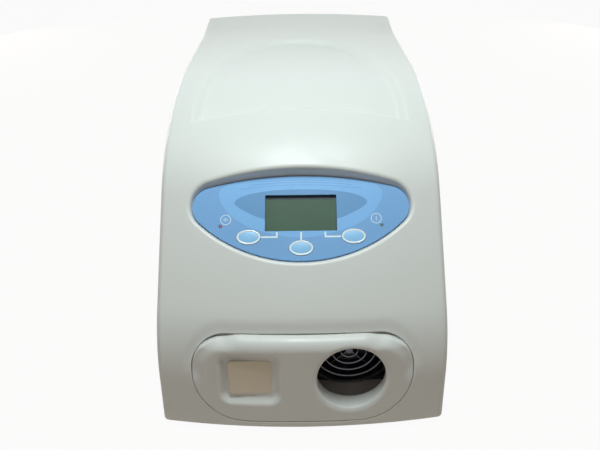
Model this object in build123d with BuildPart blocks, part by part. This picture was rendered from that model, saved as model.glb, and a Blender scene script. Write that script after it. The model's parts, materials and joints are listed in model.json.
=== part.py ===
from build123d import *
from math import cos, radians, sin, tan
import os

os.makedirs("parts", exist_ok=True)

# A bench-top water circulator: a moulded cover over a sheet-metal pan, with a Peltier cooler,
# a pump and a water tank inside. Millimetres, +Z up, front towards -Y, standing on Z = 0.

# Case
case_width = 240.0
case_depth = 470.0
wall = 3.0
side_round = 5.0
front_bow = 9.0
top_crown = 3.5
foot_height = 6.0
barb_reach = 24.0

# Lengthwise outline of the cover, from the bottom of the front to the rear edge
shin_angle = 80.0
shin_height = 45.0
knee_radius = 105.0
slope_angle = 47.0
slope_length = 95.0
brow_radius = 150.0
brow_angle = 27.0
roll_radius = 270.0
lift_start = 385.0
lift_radius = 300.0
lift_angle = 7.0

# Tray moulded into the top of the cover
tray_depth = 5.0
tray_side = 23.0
tray_side_radius = 364.0
tray_end_radius = 73.5
tray_widest = 188.0
tray_lip_sides = 169.0
tray_lip_middle = 181.0
tray_round = 2.2

# Keypad recess and panel
panel_angle = 41.0
panel_depth = 66.5
panel_height = 127.6
panel_low = -2.8
panel_high = 72.4
panel_side = 14.7
panel_tip_height = 54.0
panel_end_radius = 18.3
panel_thickness = 2.5
panel_gap = 0.4
recess_draft = 20.0
ledge = 3.0

# Front insert
insert_side = 29.0
insert_low = 5.0
insert_high = 82.8
insert_top_sag = 1.8
insert_top_corner = 29.0
insert_low_corner = 44.0
insert_wall = 3.0
insert_skirt = 8.0
insert_back = 26.0
insert_shoulder_start = 72.0
insert_shoulder_radius = 11.0
insert_shoulder_angle = 10.0
insert_gap = 0.4
insert_lap = 3.0
insert_flange = 2.0

# Air intake in the front insert
intake_x = 40.0
intake_height = 45.7
intake_radius = 28.5
intake_round = 2.0
collar_wall = 3.0
collar_back = 18.0

# Badge
badge_x = -43.5
badge_height = 46.0
badge_width = 35.0
badge_tall = 32.0
badge_thickness = 1.2
badge_recess_depth = 5.0
badge_margin = 2.0
badge_corner = 4.0
badge_draft = 45.0

# Display
lcd_width = 60.6
lcd_tall = 32.0
lcd_middle = 39.1
module_width = 64.0
module_tall = 47.0
module_middle = 42.3
module_thickness = 5.5
module_rim = 5.0
glass_sunk = 1.0
glass_thickness = 1.6
glass_border = 0.7
board_sunk = 12.0
board_thickness = 1.6
board_end = 5.2
board_tall = 56.0
board_middle = 36.0
boss_inset = 15.0
boss_low = 22.0
boss_high = 56.0
boss_radius = 3.0
board_screw_radius = 1.2
board_screw_gap = 0.1
board_screw_depth = 6.0

# Keys and indicator lamps
key_width = 20.4
key_tall = 13.0
key_gap = 0.3
key_side = 44.0
key_side_height = 18.0
key_low_height = 8.3
key_proud = 0.6
key_flange = 0.8
key_flange_thickness = 1.0
key_stem_radius = 3.0
key_stem_length = 2.5
switch_side = 6.0
switch_tall = 3.5
button_radius = 1.75
button_tall = 4.8
lamp_side = 37.5
lamp_height = 27.8
lamp_radius = 1.3
lamp_gap = 0.15

# Pan, feet, rear panel and their screws
pan_sheet = 2.0
pan_flange = 12.0
pan_gap = 0.5
pan_front = 10.5
foot_side = 25.0
foot_front = 35.0
foot_rear = 40.0
foot_radius = 11.0
foot_draft = 8.0
vent_length = 60.0
vent_width = 3.5
rear_sheet = 2.0
rear_inset = 4.0
louvre_x = 46.0
louvre_count = 8
louvre_pitch = 8.0
louvre_low = 142.0
louvre_width = 84.0
louvre_gap = 3.0
screw_radius = 2.0
screw_head = 3.6
screw_head_tall = 2.2
screw_clearance = 0.2
cover_screw_height = 8.0
cover_screw_front = 60.0
cover_screw_rear = 70.0
rear_screw_side = 16.0
rear_screw_low = 8.0

# Fan, guard and bracket
fan_size = 80.0
fan_thickness = 25.0
fan_front = 42.0
fan_bore = 38.2
fan_hub = 16.0
fan_tip_gap = 0.8
fan_flange = 3.5
fan_shaft = 1.5
fan_hole_pitch = 71.5
blade_count = 7
blade_root_pitch = 52.0
blade_tip_pitch = 30.0
blade_root_chord = 15.0
blade_tip_chord = 24.0
blade_thickness = 1.4
guard_wire = 1.1
guard_pitch = 7.6
guard_rings = 5
guard_hub = 3.0
intake_shelf = 10.3
shelf_front = 20.0
bracket_sheet = 1.5

# Cooler
fin_count = 13
fin_thickness = 1.8
fin_tall = 62.0
sink_width = 84.0
sink_length = 124.0
sink_base = 8.0
sink_front = 72.0
sink_height = 22.0
sink_foot = 8.0
peltier_side = 40.0
peltier_thickness = 3.6
peltier_pitch = 48.0
block_thickness = 14.0
block_width = 46.0
block_length = 100.0
block_corner = 3.0
block_end = 8.0
probe_radius = 2.0
probe_depth = 20.0
clamp_x = 31.0
clamp_y = 42.0
clamp_border = 6.0
clamp_thickness = 4.0
spring_tall = 3.0
spring_cone = 15.0

# Pump
pump_height = 40.0
motor_radius = 25.0
motor_front = 60.0
motor_length = 58.0
motor_round = 3.0
motor_groove = 1.5
head_radius = 29.0
head_length = 22.0
chamber_radius = 24.0
chamber_end = 3.0
impeller_gap = 1.0
shaft_radius = 3.0
shaft_length = 18.0
shaft_clearance = 0.05
vane_count = 6
vane_tall = 8.0
vane_skew = 30.0
outlet_side = 18.0
saddle_width = 44.0
saddle_length = 38.0
saddle_front = 70.0
strap_thickness = 1.0
strap_width = 12.0
strap_foot = 10.0

# Water tank, cap, drain and float
tank_wall = 2.5
tank_width = 82.0
tank_length = 150.0
tank_tall = 122.0
tank_round = 10.0
tank_side = 9.5
tank_rear = 26.0
neck_radius = 16.0
neck_bore = 13.0
neck_drop = 16.0
neck_proud = 14.0
neck_flange = 3.0
cap_radius = 20.0
cap_length = 16.0
cap_stand = 2.0
cap_gap = 0.3
cap_grips = 18
cap_grip_radius = 1.2
seal_thickness = 2.0
drain_height = 24.0
drain_radius = 5.0
plug_length = 10.0
float_radius = 12.0
float_tall = 14.0
float_low = 20.0
float_front = 50.0
stem_radius = 2.0
stem_stop = 4.0

# Hoses, their spigots and the hose tails on the rear panel
hose_outer = 5.0
hose_gap = 0.3
hose_bend = 15.0
spigot_radius = 3.2
spigot_bore = 2.0
spigot_length = 14.0
return_rear = 30.0
return_drop = 20.0
barb_x = 12.0
outlet_height = 72.0
barb_radius = 4.0
barb_thread = 6.0
barb_flange = 8.0
barb_flange_thickness = 3.0

# Power inlet, fuse and switch in the rear panel
plate_thickness = 2.0
inlet_x = 76.0
inlet_low = 52.0
inlet_width = 28.0
inlet_tall = 48.0
inlet_deep = 24.0
socket_width = 24.0
socket_tall = 16.5
socket_deep = 16.0
pin_pitch = 7.0
pin_sunk = 5.0
drawer_width = 22.0
drawer_tall = 12.0
drawer_length = 18.0
fuse_radius = 2.5
switch_height = 106.0
switch_width = 21.0
switch_long = 28.0
rocker_width = 13.0
rocker_long = 21.0
rocker_tilt = 9.0
rocker_depth = 4.0
rocker_crest = 6.5
rocker_slack = 1.0
pin_radius = 1.5

# Power supply and control board
supply_side = 4.5
supply_width = 92.0
supply_rear = 34.0
supply_length = 160.0
supply_tall = 44.0
supply_sheet = 1.5
supply_slots = 17
supply_slot_pitch = 8.0
supply_slot_margin = 7.0
control_width = 56.0
control_length = 96.0
standoff_tall = 9.0
standoff_radius = 3.0
standoff_inset = 5.0
chip_side = 14.0
chip_tall = 4.0

# Places that follow from the sizes
half_width = case_width / 2
rear_face = case_depth - rear_inset
pan_half = half_width - wall - pan_gap
tray_half = half_width - tray_side
panel_reach = half_width - panel_side
insert_half = half_width - insert_side
tank_x = -(pan_half - pan_sheet - tank_side - tank_width / 2)
tank_back = rear_face - tank_rear
tank_top = pan_sheet + tank_tall
pump_x = tank_x
outlet_x = pump_x + outlet_side
neck_height = tank_top - neck_drop
inlet_height = tank_top - return_drop
supply_x = pan_half - pan_sheet - supply_side - supply_width / 2
cap_front = rear_face + cap_stand
vent_rows = [0.2, 0.35, 0.5, 0.65, 0.8]
rear_screw_spots = [(side * (half_width - rear_screw_side), rear_screw_low) for side in (-1, 1)]
strap_middle = saddle_front + saddle_length / 2
strap_reach = motor_radius + strap_thickness + strap_foot / 2
strap_spots = [(pump_x + side * strap_reach, strap_middle) for side in (-1, 1)]
peltier_spots = [(intake_x, sink_front + sink_length / 2 + side * peltier_pitch / 2) for side in (-1, 1)]
cover_screw_back = case_depth - cover_screw_rear
cover_screw_spots = [(back, cover_screw_height) for back in (cover_screw_front, cover_screw_back)]
front = -(case_depth + barb_reach) / 2


def level(height):
    """Horizontal plane above the case's bottom rim; its axes run right and back from the front edge."""
    return Plane(origin=(0, front, foot_height + height))


def upright(depth):
    """Upright plane facing forwards, at a depth behind the front edge; its axes run right and up."""
    return Plane(origin=(0, front + depth, foot_height), x_dir=(1, 0, 0), z_dir=(0, -1, 0))


def lengthwise(x):
    """Upright plane facing right; its axes run back from the front edge and up."""
    return Plane(origin=(x, front, foot_height), x_dir=(0, 1, 0), z_dir=(1, 0, 0))


def save(builder, name):
    """Label a finished piece and write it to its own file."""
    builder.part.label = name
    export_step(builder.part, f"parts/{name}.step")


def case_section(x, inset):
    """Lengthwise section of the case at x, drawn inset from the outer skin."""
    setback = front_bow * (x / half_width) ** 2
    drop = top_crown * (x / half_width) ** 2
    lean = radians(shin_angle)
    below = 3 * top_crown
    shin_top = (
        setback + shin_height / tan(lean) + inset * sin(lean),
        shin_height - drop - inset * cos(lean),
    )
    shin_low = (shin_top[0] - (shin_top[1] + below) / tan(lean), -below)
    with BuildSketch(lengthwise(x)) as section:
        with BuildLine():
            shin = Line(shin_low, shin_top)
            knee = JernArc(shin @ 1, shin % 1, knee_radius - inset, slope_angle - shin_angle)
            slope = PolarLine(knee @ 1, slope_length, slope_angle)
            brow = JernArc(slope @ 1, slope % 1, brow_radius - inset, brow_angle - slope_angle)
            roll = JernArc(brow @ 1, brow % 1, roll_radius - inset, -brow_angle)
            top = Line(roll @ 1, (setback + lift_start, (roll @ 1).Y))
            lift = JernArc(top @ 1, top % 1, lift_radius + inset, lift_angle)
            tail = PolarLine(lift @ 1, case_depth - lift_start, lift_angle)
            rear = Line(tail @ 1, ((tail @ 1).X, -below))
            Line(rear @ 1, shin @ 0)
        make_face()
    return section.sketch


def case_form(inset, reach):
    """The case's form, inset from its skin, between two side planes."""
    with BuildPart() as form:
        loft([case_section(x, inset) for x in (-reach, 0, reach)])
    return form.part


def insert_section(x, inset):
    """Lengthwise section of the front insert's face: an upright front under a rounded shoulder."""
    setback = front_bow * (x / half_width) ** 2
    lean = radians(shin_angle)
    below = 3 * top_crown
    face_top = (
        setback + insert_shoulder_start / tan(lean) + inset * sin(lean),
        insert_shoulder_start - inset * cos(lean),
    )
    face_low = (face_top[0] - (face_top[1] + below) / tan(lean), -below)
    with BuildSketch(lengthwise(x)) as section:
        with BuildLine():
            face = Line(face_low, face_top)
            turn = insert_shoulder_angle - shin_angle
            shoulder = JernArc(face @ 1, face % 1, insert_shoulder_radius - inset, turn)
            top = PolarLine(shoulder @ 1, 4 * insert_skirt, insert_shoulder_angle)
            rear = Line(top @ 1, ((top @ 1).X, -below))
            Line(rear @ 1, face @ 0)
        make_face()
    return section.sketch


def insert_form(inset):
    """Everything behind the front insert's face, inset from it."""
    with BuildPart() as form:
        loft([insert_section(x, inset) for x in (-half_width, 0, half_width)])
    return form.part


def insert_outline(grow):
    """Front view of the insert: a crowned top, and lower corners that sweep far in."""
    high, low = insert_high + grow, insert_low - grow
    side = insert_half + grow
    with BuildSketch(upright(0)) as outline:
        with BuildLine():
            ThreePointArc((-side, high - insert_top_sag), (0, high), (side, high - insert_top_sag))
            right = Line((side, high - insert_top_sag), (side, low))
            Line(right @ 1, (-side, low))
            mirror(right, about=Plane.YZ)
        make_face()
        fillet(outline.vertices().group_by(Axis.Y)[-1], insert_top_corner + grow)
        fillet(outline.vertices().group_by(Axis.Y)[0], insert_low_corner + grow)
    return outline.sketch


def tray_outline(grow):
    """Plan of the tray in the top: a long arch closed by a shallow lip in front."""
    half = tray_half + grow
    side_radius = tray_side_radius + grow
    end_radius = tray_end_radius + grow
    lip_sides, lip_middle = tray_lip_sides - grow, tray_lip_middle - grow
    shift = tray_half - tray_side_radius
    tip = tray_widest + (side_radius**2 - shift**2) ** 0.5
    with BuildSketch(level(0)) as outline:
        with BuildLine():
            ThreePointArc((-half, lip_sides), (0, lip_middle), (half, lip_sides))
            right = Line((half, lip_sides), (half, tray_widest))
            side = RadiusArc(right @ 1, (0, tip), -side_radius)
            mirror(right, about=Plane.YZ)
            mirror(side, about=Plane.YZ)
        make_face()
        fillet(outline.vertices().group_by(Axis.Y)[-1], end_radius)
    return outline.sketch


panel_plane = Plane(
    origin=(0, front + panel_depth, foot_height + panel_height),
    x_dir=(1, 0, 0),
    z_dir=(0, -sin(radians(panel_angle)), cos(radians(panel_angle))),
)


def panel_outline(grow, sunk):
    """Outline of the keypad panel, a lens on its own plane sunk below the panel's face."""
    lower_sag = panel_tip_height - panel_low
    upper_sag = panel_high - panel_tip_height
    lower_radius = (panel_reach**2 + lower_sag**2) / (2 * lower_sag)
    upper_radius = (panel_reach**2 + upper_sag**2) / (2 * upper_sag)
    with BuildSketch(panel_plane.offset(-sunk)) as outline:
        with Locations((0, panel_low + lower_radius)):
            Circle(lower_radius + grow)
        with Locations((0, panel_high - upper_radius)):
            Circle(upper_radius + grow, mode=Mode.INTERSECT)
        fillet(outline.vertices(), panel_end_radius + grow)
    return outline.sketch


# Cover: a thin moulding, open below and behind, with the tray, the keypad recess and the front opening
with BuildPart() as tray:
    extrude(tray_outline(0), amount=3 * case_width)
    add(case_form(tray_depth, half_width), mode=Mode.SUBTRACT)
    fillet(tray.faces().sort_by(Axis.Z)[0].edges(), tray_round)

with BuildPart() as tray_underside:
    extrude(tray_outline(wall), amount=3 * case_width)
    add(case_form(tray_depth + wall, half_width), mode=Mode.SUBTRACT)

with BuildPart() as keypad_recess:
    extrude(panel_outline(panel_gap, panel_thickness), amount=6 * panel_thickness, taper=-recess_draft)

with BuildPart() as keypad_underside:
    underside = panel_outline(panel_gap + wall, panel_thickness + wall)
    extrude(underside, amount=8 * panel_thickness, taper=-recess_draft)

with BuildPart() as hollow:
    add(case_form(wall, half_width - wall))
    add(tray_underside.part, mode=Mode.SUBTRACT)
    add(keypad_underside.part, mode=Mode.SUBTRACT)

with BuildPart() as cover:
    add(case_form(0, half_width))
    split(bisect_by=level(0), keep=Keep.TOP)
    split(bisect_by=upright(case_depth), keep=Keep.TOP)
    upper_edges = cover.faces().filter_by(Axis.X).edges().filter_by(
        lambda edge: (edge @ 0.5).Z > foot_height + 1 and (edge @ 0.5).Y < front + case_depth - 1
    )
    fillet(upper_edges, side_round)
    add(tray.part, mode=Mode.SUBTRACT)
    add(keypad_recess.part, mode=Mode.SUBTRACT)
    add(hollow.part, mode=Mode.SUBTRACT)
    extrude(insert_outline(insert_gap), amount=2 * insert_back, both=True, mode=Mode.SUBTRACT)
    extrude(panel_outline(-ledge, panel_thickness), amount=-3 * wall, mode=Mode.SUBTRACT)
    with BuildSketch(lengthwise(0)):
        with Locations(*cover_screw_spots):
            Circle(screw_radius + screw_clearance)
    extrude(amount=half_width, both=True, mode=Mode.SUBTRACT)
save(cover, "cover")


# Front insert: a moulded face with the air intake's collar and the well for the badge
lean = radians(shin_angle)
badge_plane = Plane(
    origin=(
        badge_x,
        front + front_bow * (badge_x / half_width) ** 2 + badge_height / tan(lean),
        foot_height + badge_height,
    ),
    x_dir=(1, 0, 0),
    z_dir=(0, -sin(lean), cos(lean)),
)

with BuildPart() as insert_hollow:
    extrude(insert_outline(-insert_wall), amount=-2 * insert_back)
    add(insert_form(insert_wall), mode=Mode.INTERSECT)

with BuildPart() as insert_rim:
    extrude(insert_outline(insert_lap), amount=-2 * insert_back)
    add(case_form(wall, half_width - wall), mode=Mode.INTERSECT)
    add(case_form(wall + insert_flange, half_width), mode=Mode.SUBTRACT)
    extrude(insert_outline(-insert_wall), amount=-2 * insert_back, mode=Mode.SUBTRACT)

with BuildPart() as intake_collar:
    with BuildSketch(upright(collar_back)):
        with Locations((intake_x, intake_height)):
            Circle(intake_radius + collar_wall)
    extrude(amount=collar_back)
    add(insert_form(0), mode=Mode.INTERSECT)

with BuildPart() as badge_backing:
    with BuildSketch(badge_plane.offset(-badge_recess_depth - insert_wall)):
        RectangleRounded(
            badge_width + 2 * badge_margin + 2 * insert_wall,
            badge_tall + 2 * badge_margin + 2 * insert_wall,
            badge_corner + insert_wall,
        )
    extrude(amount=2 * badge_recess_depth, taper=-badge_draft)
    add(insert_form(0), mode=Mode.INTERSECT)

with BuildPart() as front_insert:
    extrude(insert_outline(0), amount=-insert_back)
    add(insert_form(0), mode=Mode.INTERSECT)
    add(insert_form(insert_skirt), mode=Mode.SUBTRACT)
    add(insert_hollow.part, mode=Mode.SUBTRACT)
    add(insert_rim.part)
    add(intake_collar.part)
    add(badge_backing.part)
    with BuildSketch(badge_plane.offset(-badge_recess_depth)):
        RectangleRounded(badge_width + 2 * badge_margin, badge_tall + 2 * badge_margin, badge_corner)
    extrude(amount=3 * badge_recess_depth, taper=-badge_draft, mode=Mode.SUBTRACT)
    with BuildSketch(upright(collar_back)):
        with Locations((intake_x, intake_height)):
            Circle(intake_radius)
    extrude(amount=collar_back, mode=Mode.SUBTRACT)
    bore = front_insert.faces().filter_by(GeomType.CYLINDER).filter_by(
        lambda face: abs((face.radius or 0) - intake_radius) < insert_gap / 10
    )
    fillet(bore.edges().filter_by(GeomType.BSPLINE), intake_round)
save(front_insert, "front_insert")

with BuildPart() as badge_plate:
    with BuildSketch(badge_plane.offset(-badge_recess_depth)):
        RectangleRounded(badge_width, badge_tall, badge_corner)
    extrude(amount=badge_thickness)
    fillet(badge_plate.faces().sort_by(Axis.Y)[0].edges(), badge_thickness / 3)
save(badge_plate, "badge_plate")


# Keypad panel, the three keys and the display behind it
key_spots = {
    "left_key": (-key_side, key_side_height),
    "centre_key": (0, key_low_height),
    "right_key": (key_side, key_side_height),
}
lamp_x = panel_reach - lamp_side
board_half = lamp_x + board_end
boss_x = board_half - boss_inset
lamp_spots = {"heating_lamp": (-lamp_x, lamp_height), "power_lamp": (lamp_x, lamp_height)}
boss_spots = [(side * boss_x, high) for side in (-1, 1) for high in (boss_low, boss_high)]

with BuildPart() as keypad_panel:
    extrude(panel_outline(0, panel_thickness), amount=panel_thickness)
    with BuildSketch(panel_plane.offset(-board_sunk)):
        with Locations(*boss_spots):
            Circle(boss_radius)
    extrude(amount=board_sunk - panel_thickness / 2)
    with BuildSketch(panel_plane):
        with Locations((0, lcd_middle)):
            Rectangle(lcd_width, lcd_tall)
        with Locations(*key_spots.values()):
            Ellipse(key_width / 2 + key_gap, key_tall / 2 + key_gap)
        with Locations(*lamp_spots.values()):
            Circle(lamp_radius + lamp_gap)
    extrude(amount=-panel_thickness, mode=Mode.SUBTRACT)
    with BuildSketch(panel_plane.offset(-board_sunk)):
        with Locations(*boss_spots):
            Circle(board_screw_radius + board_screw_gap)
    extrude(amount=board_screw_depth, mode=Mode.SUBTRACT)
save(keypad_panel, "keypad_panel")

for name, spot in key_spots.items():
    with BuildPart() as key:
        with BuildSketch(panel_plane.offset(key_proud)):
            with Locations(spot):
                Ellipse(key_width / 2, key_tall / 2)
        extrude(amount=-key_proud - panel_thickness - key_gap)
        fillet(key.edges().sort_by(Axis.Y)[0], key_proud / 2)
        with BuildSketch(panel_plane.offset(-panel_thickness - key_gap)):
            with Locations(spot):
                Ellipse(key_width / 2 + key_flange, key_tall / 2 + key_flange)
        extrude(amount=-key_flange_thickness)
        with BuildSketch(panel_plane.offset(-panel_thickness - key_gap - key_flange_thickness)):
            with Locations(spot):
                Circle(key_stem_radius)
        extrude(amount=-key_stem_length)
    save(key, name)

with BuildPart() as lcd_module:
    with BuildSketch(panel_plane.offset(-panel_thickness)):
        with Locations((0, module_middle)):
            RectangleRounded(module_width, module_tall, 1)
    extrude(amount=-module_thickness)
    with BuildSketch(panel_plane.offset(-panel_thickness)):
        with Locations((0, lcd_middle)):
            Rectangle(lcd_width + 2 * glass_border, lcd_tall + 2 * glass_border)
    extrude(amount=-glass_sunk - glass_thickness, mode=Mode.SUBTRACT)
save(lcd_module, "lcd_module")

with BuildPart() as lcd_glass:
    with BuildSketch(panel_plane.offset(-panel_thickness - glass_sunk - glass_thickness)):
        with Locations((0, lcd_middle)):
            Rectangle(lcd_width + 2 * glass_border, lcd_tall + 2 * glass_border)
    extrude(amount=glass_thickness)
save(lcd_glass, "lcd_glass")

with BuildPart() as display_board:
    with BuildSketch(panel_plane.offset(-board_sunk)):
        with Locations((0, board_middle)):
            RectangleRounded(2 * board_half, board_tall, boss_radius)
        with Locations(*boss_spots):
            Circle(board_screw_radius + board_screw_gap, mode=Mode.SUBTRACT)
    extrude(amount=-board_thickness)
    with BuildSketch(panel_plane.offset(-board_sunk)):
        with Locations((0, module_middle)):
            Rectangle(module_width - 2 * module_rim, module_tall - 2 * module_rim)
    extrude(amount=board_sunk - panel_thickness - module_thickness)
save(display_board, "display_board")

with BuildPart() as key_switches:
    with BuildSketch(panel_plane.offset(-board_sunk)):
        with Locations(*key_spots.values()):
            Rectangle(switch_side, switch_side)
    extrude(amount=switch_tall)
    with BuildSketch(panel_plane.offset(-board_sunk)):
        with Locations(*key_spots.values()):
            Circle(button_radius)
    extrude(amount=button_tall)
save(key_switches, "key_switches")

for name, spot in lamp_spots.items():
    with BuildPart() as lamp:
        with BuildSketch(panel_plane.offset(-board_sunk)):
            with Locations(spot):
                Circle(lamp_radius)
        extrude(amount=board_sunk)
        fillet(lamp.edges().sort_by(Axis.Y)[0], lamp_radius / 2)
        with BuildSketch(panel_plane.offset(-board_sunk)):
            with Locations(spot):
                Circle(1.5 * lamp_radius)
        extrude(amount=lamp_radius)
    save(lamp, name)

with BuildPart() as board_screws:
    with BuildSketch(panel_plane.offset(-board_sunk - board_thickness)):
        with Locations(*boss_spots):
            Circle(2 * board_screw_radius)
    extrude(amount=-board_screw_radius)
    with BuildSketch(panel_plane.offset(-board_sunk - board_thickness)):
        with Locations(*boss_spots):
            Circle(board_screw_radius)
    extrude(amount=board_thickness + board_screw_depth - 1)
save(board_screws, "board_screws")


# Base pan and rear panel: folded sheet inside the cover, on four rubber feet
pan_back = rear_face - rear_sheet
foot_x = half_width - foot_side
foot_spots = [(side * foot_x, back) for side in (-1, 1) for back in (foot_front, case_depth - foot_rear)]


def pan_outline(inset):
    """Plan of the base pan, inset from its edge; its front follows the bowed cover."""
    half, back = pan_half - inset, pan_back - inset
    corner = pan_front + front_bow * (pan_half / half_width) ** 2 + inset
    with BuildSketch(level(0)) as outline:
        with BuildLine():
            ThreePointArc((-half, corner), (0, pan_front + inset), (half, corner))
            Polyline((half, corner), (half, back), (-half, back), (-half, corner))
        make_face()
    return outline.sketch


with BuildPart() as base_pan:
    extrude(pan_outline(0), amount=pan_flange)
    extrude(pan_outline(pan_sheet), amount=pan_flange, mode=Mode.SUBTRACT)
    extrude(pan_outline(0), amount=pan_sheet)
    with BuildSketch(level(0)):
        with Locations(*foot_spots):
            Circle(screw_radius)
        with Locations(*[(intake_x, sink_front + share * sink_length) for share in vent_rows]):
            SlotOverall(vent_length, vent_width)
    extrude(amount=pan_sheet, mode=Mode.SUBTRACT)
    with BuildSketch(lengthwise(0)):
        with Locations(*cover_screw_spots):
            Circle(screw_radius)
    extrude(amount=half_width, both=True, mode=Mode.SUBTRACT)
    with BuildSketch(upright(pan_back)):
        with Locations(*rear_screw_spots):
            Circle(screw_radius)
    extrude(amount=pan_sheet, mode=Mode.SUBTRACT)
    with BuildSketch(level(0)):
        with Locations(*strap_spots):
            Circle(board_screw_radius)
    extrude(amount=pan_sheet, mode=Mode.SUBTRACT)
save(base_pan, "base_pan")

with BuildPart() as feet:
    with BuildSketch(level(-foot_height)):
        with Locations(*foot_spots):
            Circle(foot_radius)
    extrude(amount=foot_height, taper=-foot_draft)
    with BuildSketch(level(-foot_height)):
        with Locations(*foot_spots):
            Circle(screw_head + screw_clearance)
    extrude(amount=foot_height / 2, mode=Mode.SUBTRACT)
    with BuildSketch(level(-foot_height)):
        with Locations(*foot_spots):
            Circle(screw_radius + screw_clearance)
    extrude(amount=foot_height, mode=Mode.SUBTRACT)
save(feet, "feet")

with BuildPart() as foot_screws:
    with BuildSketch(level(-foot_height / 2)):
        with Locations(*foot_spots):
            Circle(screw_head)
    extrude(amount=-screw_head_tall)
    with BuildSketch(level(-foot_height / 2)):
        with Locations(*foot_spots):
            Circle(screw_radius)
    extrude(amount=foot_height / 2 + pan_sheet)
save(foot_screws, "foot_screws")

with BuildPart() as cover_screws:
    with BuildSketch(lengthwise(half_width)):
        with Locations(*cover_screw_spots):
            Circle(screw_head)
    extrude(amount=screw_head_tall)
    fillet(cover_screws.faces().sort_by(Axis.X)[-1].edges(), screw_head_tall / 3)
    with BuildSketch(lengthwise(half_width)):
        with Locations(*cover_screw_spots):
            Circle(screw_radius)
    extrude(amount=-wall - pan_gap - pan_sheet - screw_radius)
    mirror(about=Plane.YZ)
save(cover_screws, "cover_screws")

with BuildPart() as rear_panel:
    add(case_form(wall + pan_gap, pan_half))
    split(bisect_by=level(0), keep=Keep.TOP)
    split(bisect_by=upright(rear_face), keep=Keep.TOP)
    split(bisect_by=upright(pan_back), keep=Keep.BOTTOM)
    with BuildSketch(upright(rear_face)):
        with Locations((inlet_x, inlet_low)):
            Rectangle(inlet_width, inlet_tall)
        with Locations((inlet_x, switch_height)):
            Rectangle(switch_width - 2 * plate_thickness, switch_long - 2 * plate_thickness)
        with Locations((barb_x, outlet_height), (barb_x, inlet_height)):
            Circle(barb_thread)
        with Locations((tank_x, neck_height)):
            Circle(neck_radius + cap_gap)
        with Locations((tank_x, drain_height)):
            Circle(drain_radius + 2 * tank_wall + cap_gap)
        with Locations(*[(louvre_x, louvre_low + row * louvre_pitch) for row in range(louvre_count)]):
            SlotOverall(louvre_width, louvre_gap)
        with Locations(*rear_screw_spots):
            Circle(screw_radius)
    extrude(amount=-rear_sheet, both=True, mode=Mode.SUBTRACT)
save(rear_panel, "rear_panel")

with BuildPart() as rear_screws:
    with BuildSketch(upright(rear_face)):
        with Locations(*rear_screw_spots):
            Circle(screw_head)
    extrude(amount=-screw_head_tall)
    fillet(rear_screws.faces().sort_by(Axis.Y)[-1].edges(), screw_head_tall / 3)
    with BuildSketch(upright(rear_face)):
        with Locations(*rear_screw_spots):
            Circle(screw_radius)
    extrude(amount=rear_sheet + pan_sheet + 1)
save(rear_screws, "rear_screws")


# Fan, its guard and the folded bracket that they stand on
fan_height = intake_shelf + fan_size / 2
fan_back = fan_front + fan_thickness
fan_corners = [(sx * fan_hole_pitch / 2, sy * fan_hole_pitch / 2) for sx in (-1, 1) for sy in (-1, 1)]
fan_hole_spots = [(intake_x + x, fan_height + z) for x, z in fan_corners]

with BuildPart() as fan_bracket:
    with BuildSketch(upright(fan_back + bracket_sheet)):
        with Locations((intake_x, (fan_height + fan_size / 2 + intake_shelf) / 2)):
            Rectangle(fan_size + 2 * bracket_sheet, fan_size)
        with Locations((intake_x, intake_shelf / 2)):
            Rectangle(fan_size + 2 * bracket_sheet, intake_shelf)
        with Locations((intake_x, (intake_shelf - bracket_sheet) / 2)):
            Rectangle(fan_size, intake_shelf - bracket_sheet, mode=Mode.SUBTRACT)
        with Locations((intake_x, fan_height)):
            Circle(fan_bore, mode=Mode.SUBTRACT)
        with Locations(*fan_hole_spots):
            Circle(screw_radius, mode=Mode.SUBTRACT)
    extrude(amount=bracket_sheet)
    with BuildSketch(upright(fan_back)):
        with Locations((intake_x, intake_shelf / 2 + pan_sheet / 2)):
            Rectangle(fan_size + 2 * bracket_sheet, intake_shelf - pan_sheet)
        with Locations((intake_x, (intake_shelf - bracket_sheet) / 2)):
            Rectangle(fan_size, intake_shelf - bracket_sheet, mode=Mode.SUBTRACT)
    extrude(amount=fan_back - shelf_front)
    split(bisect_by=level(pan_sheet), keep=Keep.TOP)
save(fan_bracket, "fan_bracket")

with BuildPart() as fan_frame:
    with BuildSketch(upright(fan_back)):
        with Locations((intake_x, fan_height)):
            RectangleRounded(fan_size, fan_size, 4)
    extrude(amount=fan_thickness)
    with BuildSketch(upright(fan_back - fan_flange)):
        with Locations((intake_x, fan_height)):
            Rectangle(2 * fan_size, 2 * fan_size)
            Circle(fan_size / 2, mode=Mode.SUBTRACT)
    extrude(amount=fan_thickness - 2 * fan_flange, mode=Mode.SUBTRACT)
    with BuildSketch(upright(fan_back)):
        with Locations((intake_x, fan_height)):
            Circle(fan_bore)
        with Locations(*fan_hole_spots):
            Circle(screw_radius + screw_clearance)
    extrude(amount=fan_thickness, mode=Mode.SUBTRACT)
    with BuildSketch(upright(fan_back)):
        with Locations((intake_x, fan_height)):
            Circle(fan_hub)
            with PolarLocations(fan_bore / 2, 4, start_angle=45):
                Rectangle(fan_bore + 1, fan_flange)
            Circle(fan_shaft + shaft_clearance, mode=Mode.SUBTRACT)
    extrude(amount=fan_flange)
save(fan_frame, "fan_frame")

fan_centre = (intake_x, front + fan_front, foot_height + fan_height)
fan_face = Plane(origin=fan_centre, x_dir=(1, 0, 0), z_dir=(0, -1, 0))
rotor_front = fan_face.offset(-2 * fan_tip_gap)
rotor_length = fan_thickness - fan_flange - 3 * fan_tip_gap

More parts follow.
